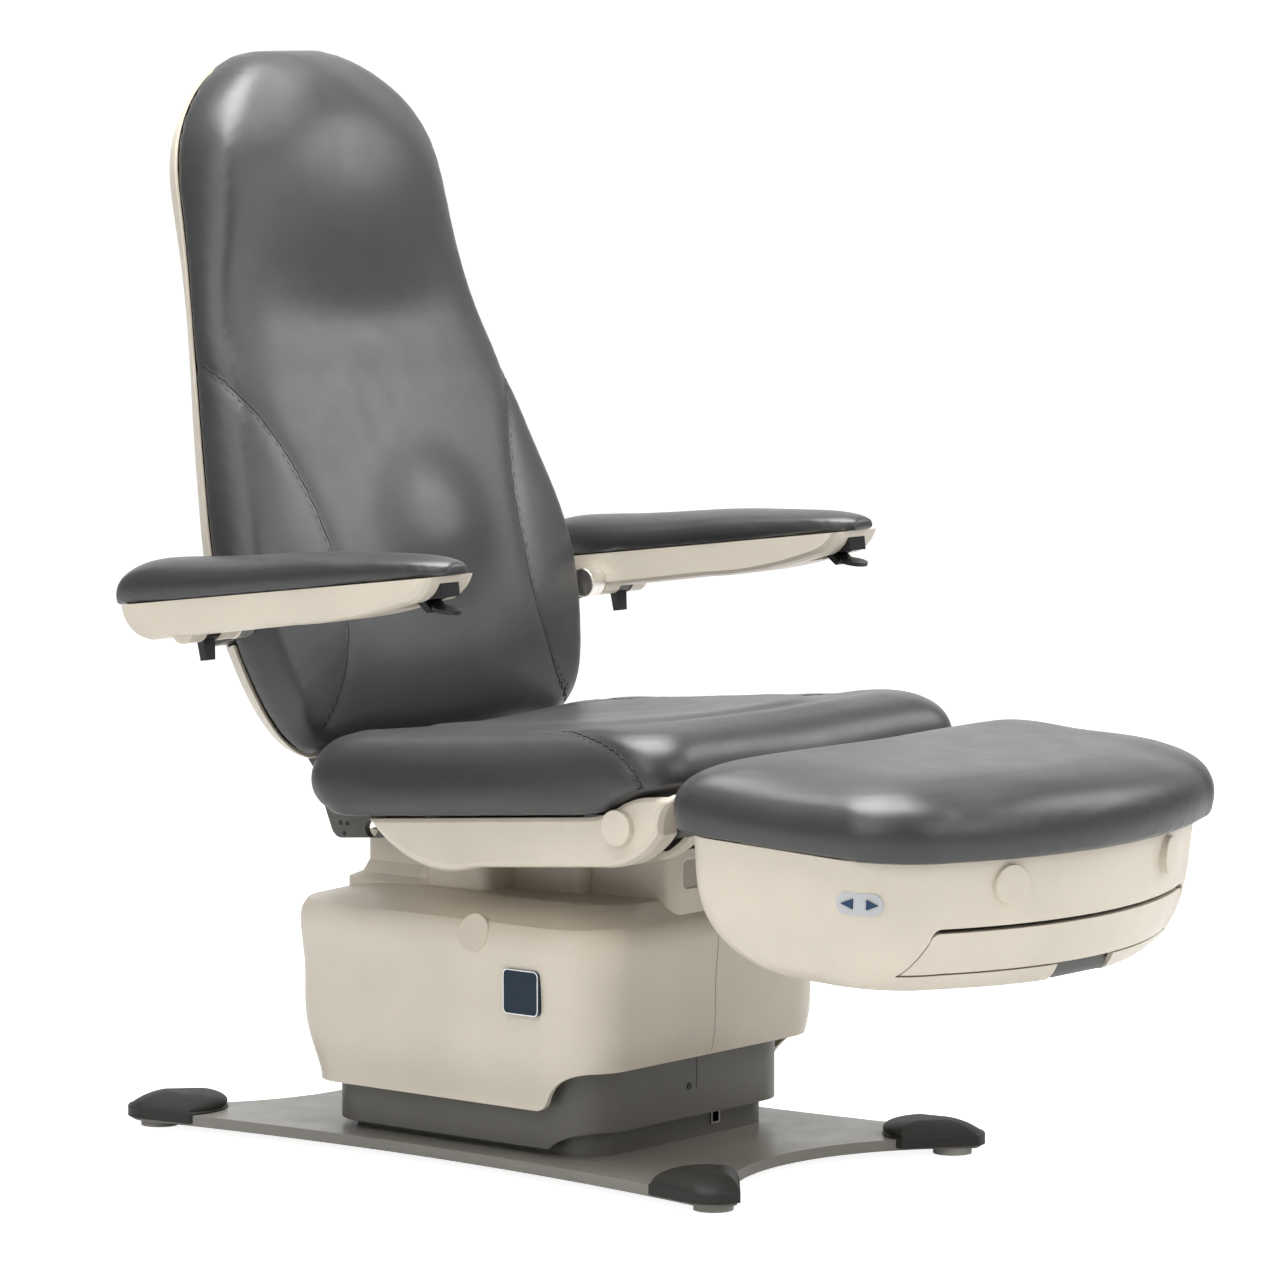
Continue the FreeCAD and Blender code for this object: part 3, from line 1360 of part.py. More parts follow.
def drawer():
    """Tray with a deep face that follows the front of the tub."""
    top = DRAWER_Z1 + DRAWER_GAP - DRAWER_TOP_GAP
    face = tub_solid(0, 0).common(drawer_slab(0, DRAWER_Z0, top))
    hx = DRAWER_HX - DRAWER_SIDE_IN
    tray = box(-hx, hx, DRAWER_FACE_Y, DRAWER_BACK_Y, DRAWER_Z0, top)
    w = DRAWER_WALL
    body = face.fuse(tray).removeSplitter()
    y0 = DRAWER_FACE_Y
    room = box(-hx + w, hx - w, y0, DRAWER_BACK_Y - w, DRAWER_Z0 + w, DRAWER_Z1 + w)
    return dropped(body.cut(room))


def drawer_handle():
    z1 = DRAWER_Z0
    body = box(-HANDLE_HX, HANDLE_HX, HANDLE_Y, HANDLE_Y + HANDLE_T, z1 - HANDLE_DROP, z1)
    long_edges = [e for e in body.Edges if e.BoundBox.ZMax < z1 - HANDLE_DROP / 2]
    return dropped(body.makeFillet(HANDLE_DROP / 3, long_edges))


def leg_frame():
    """Hinge plates and beams of the leg section with a cross member and the drive of the extension."""
    z1 = LEG_FLOOR - 2 * LEG_SLOT_GAP
    z0 = z1 - LEG_BEAM_H
    parts = []
    for sx in (-1, 1):
        x0 = sx * LEG_BEAM_X - LEG_BEAM_T / 2
        root_y = TUB_REAR + LEG_BEAM_H
        parts.append(lug(x0, LEG_BEAM_T, LEG_Y, LEG_Z, root_y, (z0 + z1) / 2, LEG_BEAM_H / 2))
        parts.append(rod(vec(x0, LEG_Y, LEG_Z), vec(1, 0, 0), LUG_R * 0.8, LEG_BEAM_T))
        parts.append(box(x0, x0 + LEG_BEAM_T, LEG_BEAM_Y, TUB_REAR + LEG_BEAM_H, z0, z1))
    parts.append(box(-LEG_BEAM_X, LEG_BEAM_X, LEG_BEAM_Y, LEG_BEAM_Y + LEG_BEAM_H, z0, z1))
    body = parts[0].fuse(parts[1:]).removeSplitter()
    wide = LEG_BEAM_X + LEG_BEAM_T
    return dropped(body.cut(rod(vec(-wide, LEG_Y, LEG_Z), vec(1, 0, 0), PIN_R + PIN_GAP, 2 * wide)))


def extension_motor():
    z = LEG_FLOOR - 2 * LEG_SLOT_GAP - EXT_MOTOR_R
    return dropped(rod(vec(0, LEG_BEAM_Y, z), vec(0, -1, 0), EXT_MOTOR_R, EXT_MOTOR_LENGTH))


def badge(sx):
    """Blank raised plate on the side of the carriage cover."""
    h = BADGE_SIDE / 2
    draw = MAIN_DRAW * 0.14
    x0 = MAIN_HX - MAIN_WALL / 2 - draw
    points = rect_points(h, BADGE_Z - h, BADGE_Z + h, BADGE_R)
    thick = MAIN_WALL / 2 + BADGE_PROUD + draw
    body = slab(points, lambda y, z: vec(sx * x0, BADGE_Y + y, z), vec(sx * thick, 0, 0))
    return body.cut(main_solid(0))


def jack():
    y = COVER_Y - MID_HY + 2 * COVER_STEP
    half = JACK_SIDE / 2
    body = box(JACK_X - half, JACK_X + half, y - JACK_PROUD, y + JACK_DEEP, JACK_Z - half, JACK_Z + half)
    port = half * 0.7
    y1 = y + JACK_DEEP / 2
    return body.cut(box(JACK_X - port, JACK_X + port, y - JACK_SIDE, y1, JACK_Z - port, JACK_Z + port))


def lift_motor():
    y = COVER_Y + TUBE_SIDE / 2 + LIFT_MOTOR_R + TUBE_STEP * 2
    body = rod(vec(0, y, PLATE_Z1), vec(0, 0, 1), LIFT_MOTOR_R, LIFT_MOTOR_LENGTH)
    return body


def control_box():
    y1 = COVER_Y - TUBE_SIDE / 2 - TUBE_STEP * 2
    return box(-BOX_L / 2, BOX_L / 2, y1 - BOX_W, y1, PLATE_Z1, PLATE_Z1 + BOX_H)


def both(make):
    return Part.makeCompound([make(-1), make(1)])


def corners(make):
    return Part.makeCompound([make(sx, sy) for sy in (-1, 1) for sx in (-1, 1)])


def build():
    nodes = {}
    nodes["base_plate"] = base_plate()
    nodes["levelling_feet"] = corners(levelling_foot)
    for sy, end in ((-1, "front"), (1, "rear")):
        for sx, side in ((-1, "right"), (1, "left")):
            nodes["foot_cover_" + end + "_" + side] = foot_guard(sx, sy)
    jack_body = jack()
    y_lower = COVER_Y - MID_HY + 2 * COVER_STEP
    half = JACK_SIDE / 2
    port = box(JACK_X - half, JACK_X + half, y_lower - half, y_lower + half, JACK_Z - half, JACK_Z + half)
    nodes["lower_cover"] = straight_cover(2 * COVER_STEP, PLATE_Z1, LOWER_TOP, 0).cut(port)
    nodes["data_jack"] = jack_body
    nodes["second_cover"] = straight_cover(COVER_STEP, SECOND_BOTTOM, SECOND_TOP, SECOND_ARCH)
    right, left = halves(straight_cover(0, MID_BOTTOM, MID_TOP, MID_ARCH))
    nodes["mid_cover_right"] = right
    nodes["mid_cover_left"] = left
    caps = both(shoulder_cap)
    badges = both(badge)
    right, left = halves(main_cover().cut(caps))
    nodes["main_cover_right"] = right
    nodes["main_cover_left"] = left
    nodes["shoulder_caps"] = caps
    nodes["badge_plates"] = badges
    nodes["window_trim"] = window_trim()
    nodes["window_panel"] = window_panel()
    nodes["column_outer_tube"] = tube(0, PLATE_Z1, TUBE_TOP)
    nodes["lift_spindle"] = spindle()
    nodes["lift_motor"] = lift_motor()
    nodes["control_box"] = control_box()
    nodes["column_middle_tube"] = column_middle()
    nodes["hollow_screw"] = ring(SLEEVE_OUT, SLEEVE_IN, TUBE_MID_Z0 + 2 * TUBE_STEP, SPINDLE_TOP)
    nodes["column_inner_tube"] = column_inner()
    nut_z = TUBE_LAST_Z0 + 2 * TUBE_STEP
    nodes["lift_nut"] = ring(NUT_R, SLEEVE_OUT + SPINDLE_GAP / 2, nut_z, nut_z + NUT_T)
    nodes["tilt_yoke"] = tilt_yoke()
    x1 = YOKE_X + YOKE_T
    nodes["tilt_pin"] = headed_pin(-x1, x1, TILT_Y, TILT_Z, PIN_R)
    nodes["tilt_motor"] = bored_motor(MOTOR_HX, TILT_Y, TILT_Z, MOTOR_R)
    nodes["seat_frame"] = seat_frame()
    nodes["seat_cushion"] = seat_cushion()
    for sx, side in ((-1, "right"), (1, "left")):
        nodes["seat_fairing_" + side] = hull_side(sx)
    nodes["seat_caps"] = both(hull_cap)
    lugs = BACK_LUG_X + LUG_T / 2
    nodes["back_pivot_pin"] = headed_pin(-lugs, lugs, BACK_Y, BACK_Z, PIN_R)
    nodes["back_motor"] = bored_motor(2 * MOTOR_HX, BACK_Y, BACK_Z, MOTOR_R)
    lugs = LEG_LUG_X + LUG_T / 2
    nodes["leg_pivot_pin"] = headed_pin(-lugs, lugs, LEG_Y, LEG_Z, PIN_R)
    nodes["leg_motor"] = bored_motor(2 * MOTOR_HX, LEG_Y, LEG_Z, MOTOR_R)
    nodes["back_frame"] = back_frame()
    nodes["back_shell"] = back_shell()
    nodes["back_cushion"] = back_cushion()
    nodes["arm_axles"] = both(arm_axle)
    for sx, side in ((-1, "right"), (1, "left")):
        nodes["arm_shell_" + side] = arm_shell(sx)
        nodes["arm_pad_" + side] = arm_pad(sx)
        nodes["arm_lever_" + side] = arm_lever(sx)
        nodes["arm_lock_" + side] = arm_tab(sx)
    nodes["leg_frame"] = leg_frame()
    nodes["extension_motor"] = extension_motor()
    nodes["leg_tub"] = leg_tub()
    nodes["leg_cushion"] = leg_cushion()
    nodes["tub_caps"] = both(tub_cap)
    nodes["button_plate"] = button_plate()
    nodes["button_retract"] = button(1)
    nodes["button_extend"] = button(-1)
    nodes["drawer"] = drawer()
    nodes["drawer_handle"] = drawer_handle()
    return nodes


def main():
    os.makedirs("parts", exist_ok=True)
    for name, shape in build().items():
        shape.translate(vec(0, SHIFT_Y, 0))
        shape.exportStep("parts/" + name + ".step")
        solids = shape.Solids
        bad = "" if shape.isValid() else " INVALID"
        print(name, len(solids), round(sum(s.Volume for s in solids) / 1000.0, 1), bad)


if __name__ == "__main__":
    main()
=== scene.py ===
import json
import math

import bmesh
import bpy
import numpy as np
from mathutils import Matrix, Vector
from mathutils.bvhtree import BVHTree
from mathutils.kdtree import KDTree


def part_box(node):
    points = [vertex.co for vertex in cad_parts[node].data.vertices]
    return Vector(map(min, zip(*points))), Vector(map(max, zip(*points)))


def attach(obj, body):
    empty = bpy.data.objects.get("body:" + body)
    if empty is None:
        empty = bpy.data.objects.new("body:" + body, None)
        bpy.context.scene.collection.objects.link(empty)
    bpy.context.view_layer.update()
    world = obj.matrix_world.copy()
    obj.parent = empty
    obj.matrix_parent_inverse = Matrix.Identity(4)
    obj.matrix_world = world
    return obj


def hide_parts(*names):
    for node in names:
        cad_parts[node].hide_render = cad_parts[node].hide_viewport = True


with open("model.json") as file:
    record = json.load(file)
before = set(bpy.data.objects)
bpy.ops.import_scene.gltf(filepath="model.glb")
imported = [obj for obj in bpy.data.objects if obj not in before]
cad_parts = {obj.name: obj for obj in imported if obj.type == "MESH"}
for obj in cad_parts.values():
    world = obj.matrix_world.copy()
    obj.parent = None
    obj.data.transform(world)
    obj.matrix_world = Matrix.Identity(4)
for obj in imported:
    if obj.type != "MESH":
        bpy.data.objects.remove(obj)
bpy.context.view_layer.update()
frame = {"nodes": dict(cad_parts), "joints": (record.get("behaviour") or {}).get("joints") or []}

# Photograph's viewpoint
VIEW_AZIMUTH = math.radians(-50.84)
VIEW_PITCH = math.radians(5.97)
VIEW_TARGET = Vector((0.0611, 0.0813, 0.5471))
VIEW_DISTANCE = 7.0459
VIEW_LENS = 182.8
VIEW_SENSOR = 36.0
VIEW_DEPTH = 100.0

# Pivots of the chair, from the joints of the frame, and the slopes of its sections
pivots = {}
for joint in frame["joints"]:
    if "pos_m" in joint:
        pivots[joint["name"]] = Vector(joint["pos_m"])
SEAT_SLOPE = math.radians(5.0)
BACK_LEAN = math.radians(17.0)
ARM_RISE = math.radians(7.2)
LEG_DROP = math.radians(-2.4)
SIDES = (("right", -1), ("left", 1))
FORWARD = (0, -1, 0)
UPWARD = (0, 0, 1)


def tilted(pivot, angle):
    """Frame of a section that is turned back by an angle about its pivot."""
    turn = Matrix.Rotation(-angle, 4, "X")
    return Matrix.Translation(pivot) @ turn


seat_place = tilted(pivots["seat_tilt"], SEAT_SLOPE)
back_place = tilted(pivots["back_recline"], BACK_LEAN)
leg_place = tilted(pivots["leg_lift"], LEG_DROP)
arm_places = {side: tilted(pivots["arm_swing_" + side], ARM_RISE) for side, _ in SIDES}


# Finishes

# Part of a noise's range that is spread over a tint or a gloss
NOISE_LOW = 0.3
NOISE_HIGH = 0.7
VINYL_COLOR = (0.036, 0.0366, 0.038)


def new_finish(name):
    material = bpy.data.materials.new(name)
    material.use_nodes = True
    nodes = material.node_tree.nodes
    return material, nodes, material.node_tree.links, nodes["Principled BSDF"]


def noise_on(nodes, links, scale, detail, roughness):
    place = nodes.new("ShaderNodeTexCoord")
    noise = nodes.new("ShaderNodeTexNoise")
    noise.inputs["Scale"].default_value = scale
    noise.inputs["Detail"].default_value = detail
    noise.inputs["Roughness"].default_value = roughness
    links.new(place.outputs["Object"], noise.inputs["Vector"])
    return noise.outputs["Fac"]


def shade(color, factor):
    return tuple(channel * factor for channel in color)


def mottle(nodes, links, shader, source, color, dark, light):
    """Colour that wanders between a darker and a lighter shade of itself."""
    ramp = nodes.new("ShaderNodeValToRGB")
    ramp.color_ramp.elements[0].position = NOISE_LOW
    ramp.color_ramp.elements[0].color = (*shade(color, dark), 1)
    ramp.color_ramp.elements[1].position = NOISE_HIGH
    ramp.color_ramp.elements[1].color = (*shade(color, light), 1)
    links.new(source, ramp.inputs["Fac"])
    links.new(ramp.outputs["Color"], shader.inputs["Base Color"])


def wear(nodes, links, shader, source, low, high):
    """Roughness that wanders between two levels."""
    span = nodes.new("ShaderNodeMapRange")
    span.inputs["From Min"].default_value = NOISE_LOW
    span.inputs["From Max"].default_value = NOISE_HIGH
    span.inputs["To Min"].default_value = low
    span.inputs["To Max"].default_value = high
    links.new(source, span.inputs["Value"])
    links.new(span.outputs["Result"], shader.inputs["Roughness"])


def grain(nodes, links, under, height, strength, distance):
    """Bump that feeds the normal of a shader or of another bump."""
    bump = nodes.new("ShaderNodeBump")
    bump.inputs["Strength"].default_value = strength
    bump.inputs["Distance"].default_value = distance
    links.new(height, bump.inputs["Height"])
    links.new(bump.outputs["Normal"], under.inputs["Normal"])
    return bump


def moulded(name, color, gloss, pebble, depth, specular=0.5):
    """Moulded plastic or paint: faint mottling, uneven gloss and a fine pebbled skin."""
    material, nodes, links, shader = new_finish(name)
    cloud = noise_on(nodes, links, scale=9.0, detail=3.0, roughness=0.55)
    mottle(nodes, links, shader, cloud, color, dark=0.955, light=1.045)
    rub = noise_on(nodes, links, scale=38.0, detail=4.0, roughness=0.6)
    wear(nodes, links, shader, rub, low=gloss - 0.05, high=gloss + 0.05)
    skin = noise_on(nodes, links, scale=pebble, detail=2.0, roughness=0.5)
    grain(nodes, links, shader, skin, strength=0.35, distance=depth)
    shader.inputs["Specular IOR Level"].default_value = specular
    return material


def vinyl_finish():
    """Upholstery vinyl: charcoal skin with a fine creased grain and a soft sheen."""
    material, nodes, links, shader = new_finish("charcoal_vinyl")
    cloud = noise_on(nodes, links, scale=14.0, detail=5.0, roughness=0.6)
    mottle(nodes, links, shader, cloud, VINYL_COLOR, dark=0.93, light=1.07)
    rub = noise_on(nodes, links, scale=26.0, detail=5.0, roughness=0.6)
    wear(nodes, links, shader, rub, low=0.35, high=0.42)
    place = nodes.new("ShaderNodeTexCoord")
    cells = nodes.new("ShaderNodeTexVoronoi")
    cells.feature = "DISTANCE_TO_EDGE"
    cells.inputs["Scale"].default_value = 620.0
    links.new(place.outputs["Object"], cells.inputs["Vector"])
    edge = nodes.new("ShaderNodeMapRange")
    edge.inputs["From Max"].default_value = 0.22
    links.new(cells.outputs["Distance"], edge.inputs["Value"])
    pores = grain(nodes, links, shader, edge.outputs["Result"], strength=0.16, distance=0.00012)
    crease = noise_on(nodes, links, scale=55.0, detail=6.0, roughness=0.65)
    grain(nodes, links, pores, crease, strength=0.22, distance=0.0012)
    shader.inputs["Specular IOR Level"].default_value = 0.66
    shader.inputs["Sheen Weight"].default_value = 0.04
    shader.inputs["Sheen Roughness"].default_value = 0.45
    return material


def machined(name, color, gloss):
    """Turned or ground steel: fine grain and uneven gloss."""
    material, nodes, links, shader = new_finish(name)
    cloud = noise_on(nodes, links, scale=60.0, detail=4.0, roughness=0.6)
    mottle(nodes, links, shader, cloud, color, dark=0.85, light=1.1)
    wear(nodes, links, shader, cloud, low=gloss - 0.08, high=gloss + 0.08)
    skin = noise_on(nodes, links, scale=900.0, detail=2.0, roughness=0.5)
    grain(nodes, links, shader, skin, strength=0.2, distance=0.00008)
    shader.inputs["Metallic"].default_value = 1.0
    return material


vinyl = vinyl_finish()
beige = moulded("beige_plastic", (0.765, 0.695, 0.580), 0.36, 420.0, 0.00012)
cover_grey = moulded("warm_grey_cover", (0.138, 0.131, 0.111), 0.42, 520.0, 0.00012)
base_grey = moulded("warm_grey_paint", (0.275, 0.264, 0.236), 0.36, 640.0, 0.00010)
foot_dark = moulded("charcoal_foot", (0.020, 0.0195, 0.018), 0.58, 700.0, 0.00022)
black = moulded("black_plastic", (0.012, 0.012, 0.013), 0.4, 800.0, 0.00012)
pad_grey = moulded("pale_foot_pad", (0.52, 0.50, 0.46), 0.5, 500.0, 0.00015)
frame_dark = moulded("frame_paint", (0.105, 0.102, 0.092), 0.42, 600.0, 0.00012)
handle_grey = moulded("grey_handle", (0.115, 0.115, 0.113), 0.42, 700.0, 0.00012)
plate_grey = moulded("pale_button_plate", (0.60, 0.615, 0.63), 0.4, 900.0, 0.00006)
badge_blue = moulded("blank_badge", (0.006, 0.022, 0.042), 0.3, 300.0, 0.00003, 0.3)
mark_blue = moulded("button_mark", (0.010, 0.042, 0.105), 0.35, 900.0, 0.00004)
# Window panel: the beige darkened to about half, painted shade of its recess
window_recess_shade = moulded("window_painted_shade", (0.42, 0.365, 0.30), 0.3, 300.0, 0.00003)
# Near-black, darker than the vinyl: painted shade in the seam grooves
seam_painted_shade = moulded("seam_shade_line", (0.010, 0.010, 0.011), 0.6, 900.0, 0.00005)
thread = moulded("upholstery_thread", (0.035, 0.035, 0.036), 0.6, 1500.0, 0.00012)
# Beige darkened to about 0.6: painted shade in the gap where the cover halves meet
gap_painted_shade = moulded("shadow_gap", (0.46, 0.41, 0.33), 0.6, 900.0, 0.00005)
sleeve_grey = machined("satin_sleeve", (0.80, 0.77, 0.72), 0.42)
steel = machined("machined_steel", (0.56, 0.55, 0.53), 0.3)
trim_silver = machined("badge_edge", (0.72, 0.73, 0.74), 0.22)

node_finish = {
    "base_plate": base_grey,
    "levelling_feet": pad_grey,
    "lower_cover": cover_grey,
    "second_cover": cover_grey,
    "mid_cover_right": cover_grey,
    "mid_cover_left": cover_grey,
    "data_jack": black,
    "control_box": black,
    "badge_plates": badge_blue,
    "window_panel": window_recess_shade,
    "drawer_handle": handle_grey,
    "button_plate": plate_grey,
    "button_retract": mark_blue,
    "button_extend": mark_blue,
}
for name, node in frame["nodes"].items():
    if name.startswith("foot_cover"):
        finish = foot_dark
    elif name.startswith(("arm_lever", "arm_lock")):
        finish = black
    elif name.endswith(("_frame", "_motor", "_yoke", "pivot_pin")):
        finish = frame_dark
    elif name.endswith(("_tube", "_spindle", "_screw", "_nut", "_pin", "_axles")):
        finish = steel
    else:
        finish = node_finish.get(name, beige)
    node.data.materials.clear()
    node.data.materials.append(finish)


# Upholstery

WELD = 0.00005
RELAX = 0.5
SHRINK = 0.001
PRESSURE = 4.0
CLOTH_STEPS = 20
TAUT_ROUNDS = 60
CURVE_DIVISIONS = 24
# Width and depth of the draw of a seam: the broad one, then the narrow one
GROOVES = ((0.014, 0.0016), (0.0045, 0.0012))
GROOVE_REACH = 3
GROOVE_STEP = 0.0015
STITCH_STEP = 0.0016
STITCH_EVERY = 5
STITCH_AIM = 2
STITCH_ASIDE = 0.0045
STITCH_SIZE = (0.0056, 0.0010, 0.0008)
STITCH_EDGE = 0.00025
FOLD_RADIUS = 0.0008


def in_scene(name, data):
    thing = bpy.data.objects.new(name, data)
    bpy.context.scene.collection.objects.link(thing)
    return thing


def add_piece(name, mesh, finish, body):
    piece = in_scene(name, mesh)
    mesh.materials.clear()
    mesh.materials.append(finish)
    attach(piece, body)
    return piece


def mesh_of(shaper, name):
    mesh = bpy.data.meshes.new(name)
    shaper.to_mesh(mesh)
    shaper.free()
    return mesh


def baked(thing):
    """Mesh that a helper object comes to; the helper goes."""
    bpy.context.view_layer.update()
    graph = bpy.context.evaluated_depsgraph_get()
    mesh = bpy.data.meshes.new_from_object(thing.evaluated_get(graph))
    bpy.data.objects.remove(thing)
    return mesh


def smooth_faces(mesh):
    mesh.polygons.foreach_set("use_smooth", [True] * len(mesh.polygons))


def foam_mesh(node_name, voxel, rounds):
    """Even skin of quads over the foam block of a cushion."""
    source = bpy.data.meshes.new_from_object(frame["nodes"][node_name])
    shaper = bmesh.new()
    shaper.from_mesh(source)
    bmesh.ops.remove_doubles(shaper, verts=shaper.verts, dist=WELD)
    bmesh.ops.recalc_face_normals(shaper, faces=shaper.faces)
    shaper.to_mesh(source)
    shaper.free()
    block = in_scene(node_name + "_foam", source)
    remesh = block.modifiers.new("skin", "REMESH")
    remesh.mode = "VOXEL"
    remesh.voxel_size = voxel
    relax = block.modifiers.new("relax", "SMOOTH")
    relax.factor = RELAX
    relax.iterations = rounds
    return baked(block)


def evened(mesh, moves, fixed):
    """Spreads the push of the stuffing along the skin, so taut vinyl keeps no small folds."""
    ends = np.empty(len(mesh.edges) * 2, dtype=np.int64)
    mesh.edges.foreach_get("vertices", ends)
    first, second = ends[0::2], ends[1::2]
    count = np.bincount(ends, minlength=len(moves))[:, None]
    for _ in range(TAUT_ROUNDS):
        beside = np.zeros_like(moves)
        np.add.at(beside, first, moves[second])
        np.add.at(beside, second, moves[first])
        moves = (moves + beside / count) / 2
        moves[fixed] = 0
    return moves


def stuffed(mesh, held, reach):
    """Presses the vinyl skin out from inside; held points stay on their board."""
    fixed = np.array([held(v) for v in mesh.vertices])
    block = in_scene("stuffing", mesh.copy())
    group = block.vertex_groups.new(name="held")
    group.add(np.flatnonzero(fixed).tolist(), 1.0, "REPLACE")
    cloth = block.modifiers.new("vinyl", "CLOTH")
    settings = cloth.settings
    settings.quality = 4
    settings.mass = 0.4
    settings.tension_stiffness = 40
    settings.compression_stiffness = 40
    settings.shear_stiffness = 20
    settings.bending_stiffness = 2
    settings.use_pressure = True
    settings.uniform_pressure_force = PRESSURE
    settings.vertex_group_mass = "held"
    settings.effector_weights.gravity = 0
    cloth.collision_settings.use_collision = False
    cloth.point_cache.frame_end = CLOTH_STEPS
    stage = bpy.context.scene
    for step in range(1, CLOTH_STEPS + 1):
        stage.frame_set(step)
    shaped = block.evaluated_get(bpy.context.evaluated_depsgraph_get()).to_mesh()
    moves = np.zeros((len(mesh.vertices), 3))
    for v, after in zip(mesh.vertices, shaped.vertices):
        move = after.co - v.co
        if move.length > reach:
            move *= reach / move.length
        moves[v.index] = move
    bpy.data.objects.remove(block)
    stage.frame_set(1)
    for v, move in zip(mesh.vertices, evened(mesh, moves, fixed)):
        v.co += Vector(move)


def bulge(mesh, place, centre, radii, rise, toward, fullness):
    """Soft mound on a cushion, in its section's own frame; a higher fullness flattens its top."""
    inverse = place.inverted()
    push = (place.to_3x3() @ Vector(toward)) * rise
    moves = []
    for v in mesh.vertices:
        local = inverse @ v.co
        turned = max(0.0, (inverse.to_3x3() @ v.normal).dot(Vector(toward)))
        away = sum(((local[i] - centre[i]) / radii[i]) ** 2 for i in range(3) if radii[i])
        moves.append(push * math.exp(-(away ** fullness)) * turned)
    for v, move in zip(mesh.vertices, moves):
        v.co += move


def line_through(points, step):
    """Smooth line through given points, at even steps."""
    data = bpy.data.curves.new("line", "CURVE")
    data.dimensions = "3D"
    data.resolution_u = CURVE_DIVISIONS
    spline = data.splines.new("BEZIER")
    spline.bezier_points.add(len(points) - 1)
    for knot, point in zip(spline.bezier_points, points):
        knot.co = point
        knot.handle_left_type = "AUTO"
        knot.handle_right_type = "AUTO"
    dense = [v.co.copy() for v in baked(in_scene("line", data)).vertices]
    even = [dense[0]]
    run = 0.0
    for a, b in zip(dense, dense[1:]):
        run += (b - a).length
        if run >= step:
            even.append(b)
            run = 0.0
    return even


def skin_tree(mesh):
    corners = [v.co for v in mesh.vertices]
    return BVHTree.FromPolygons(corners, [tuple(face.vertices) for face in mesh.polygons])


def on_skin(tree, points):
    """Points laid on the nearest skin, with the skin's outward direction there."""
    return [tree.find_nearest(point)[:2] for point in points]


def sew_groove(mesh, seams, width, depth):
    """Draws the skin in along its seams."""
    samples = [spot for seam in seams for spot, _ in seam]
    finder = KDTree(len(samples))
    for index, spot in enumerate(samples):
        finder.insert(spot, index)
    finder.balance()
    moves = []
    for v in mesh.vertices:
        away = finder.find(v.co)[2]
        if away < width * GROOVE_REACH:
            moves.append((v, v.normal * depth * math.exp(-((away / width) ** 2))))
    for v, move in moves:
        v.co -= move


def stitches(name, tree, laid, aside, body):
    """Row of short stitches beside a seam."""
    shaper = bmesh.new()
    size = Matrix.Diagonal((*STITCH_SIZE, 1.0))
    for index in range(STITCH_EVERY, len(laid) - STITCH_EVERY, STITCH_EVERY):
        spot, normal = laid[index]
        ahead = (laid[index + STITCH_AIM][0] - laid[index - STITCH_AIM][0]).normalized()
        across = normal.cross(ahead).normalized()
        top, lift, _, _ = tree.find_nearest(spot + across * aside)
        turn = Matrix((ahead, across, lift)).transposed().to_4x4()
        bmesh.ops.create_cube(shaper, size=1.0, matrix=Matrix.Translation(top) @ turn @ size)
    bmesh.ops.bevel(
        shaper, geom=shaper.edges[:], offset=STITCH_EDGE, segments=1, profile=0.5,
        affect="EDGES", material=-1,
    )
    add_piece(name, mesh_of(shaper, name), thread, body)


def seam_shade_line(name, laid, body):
    """Thin tube darker than the vinyl along the groove of a seam: painted shade of the fold."""
    fold = bpy.data.curves.new("fold", "CURVE")
    fold.dimensions = "3D"
    fold.bevel_depth = FOLD_RADIUS
    fold.bevel_resolution = 1
    run = fold.splines.new("POLY")
    run.points.add(len(laid) - 1)
    for knot, (spot, _) in zip(run.points, laid):
        knot.co = (*spot, 1.0)
    add_piece(name, baked(in_scene("fold", fold)), seam_painted_shade, body)


def upholster(name, node, body, place, held, voxel, rounds, reach, mounds=(), seams=()):
    """Vinyl-covered cushion in the room of its foam block, with its mounds and its seams.

    The seam on the left comes first.
    """
    mesh = foam_mesh(node, voxel, rounds)
    for v, direction in [(v, v.normal.copy()) for v in mesh.vertices if not held(v)]:
        v.co -= direction * SHRINK
    stuffed(mesh, held, reach)
    mesh.update()
    for mound in mounds:
        bulge(mesh, place, *mound)
    mesh.update()
    lines = [[place @ Vector(point) for point in seam] for seam in seams]
    if lines:
        tree = skin_tree(mesh)
        drawn = [on_skin(tree, line_through(line, GROOVE_STEP)) for line in lines]
        for width, depth in GROOVES:
            sew_groove(mesh, drawn, width, depth)
            mesh.update()
    smooth_faces(mesh)
    piece = add_piece(name, mesh, vinyl, body)
    finer = piece.modifiers.new("finer", "SUBSURF")
    finer.levels = 1
    finer.render_levels = 1
    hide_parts(node)
    for line, (side, sign) in zip(lines, reversed(SIDES)):
        tree = skin_tree(mesh)
        laid = on_skin(tree, line_through(line, STITCH_STEP))
        stitches(body + "_stitches_" + side, tree, laid, STITCH_ASIDE * sign, body)
        seam_shade_line(body + "_seam_" + side, laid, body)


def mirrored(seam):
    return tuple((-x, y, z) for x, y, z in seam)


def rear_of(place, depth):
    """Tells the points of a cushion that lie on the board behind it."""
    inverse = place.inverted()
    return lambda v: (inverse @ v.co).y > depth


def foot_of(place, height):
    """Tells the points of a cushion that lie on the board under it."""
    inverse = place.inverted()
    return lambda v: (inverse @ v.co).z < height


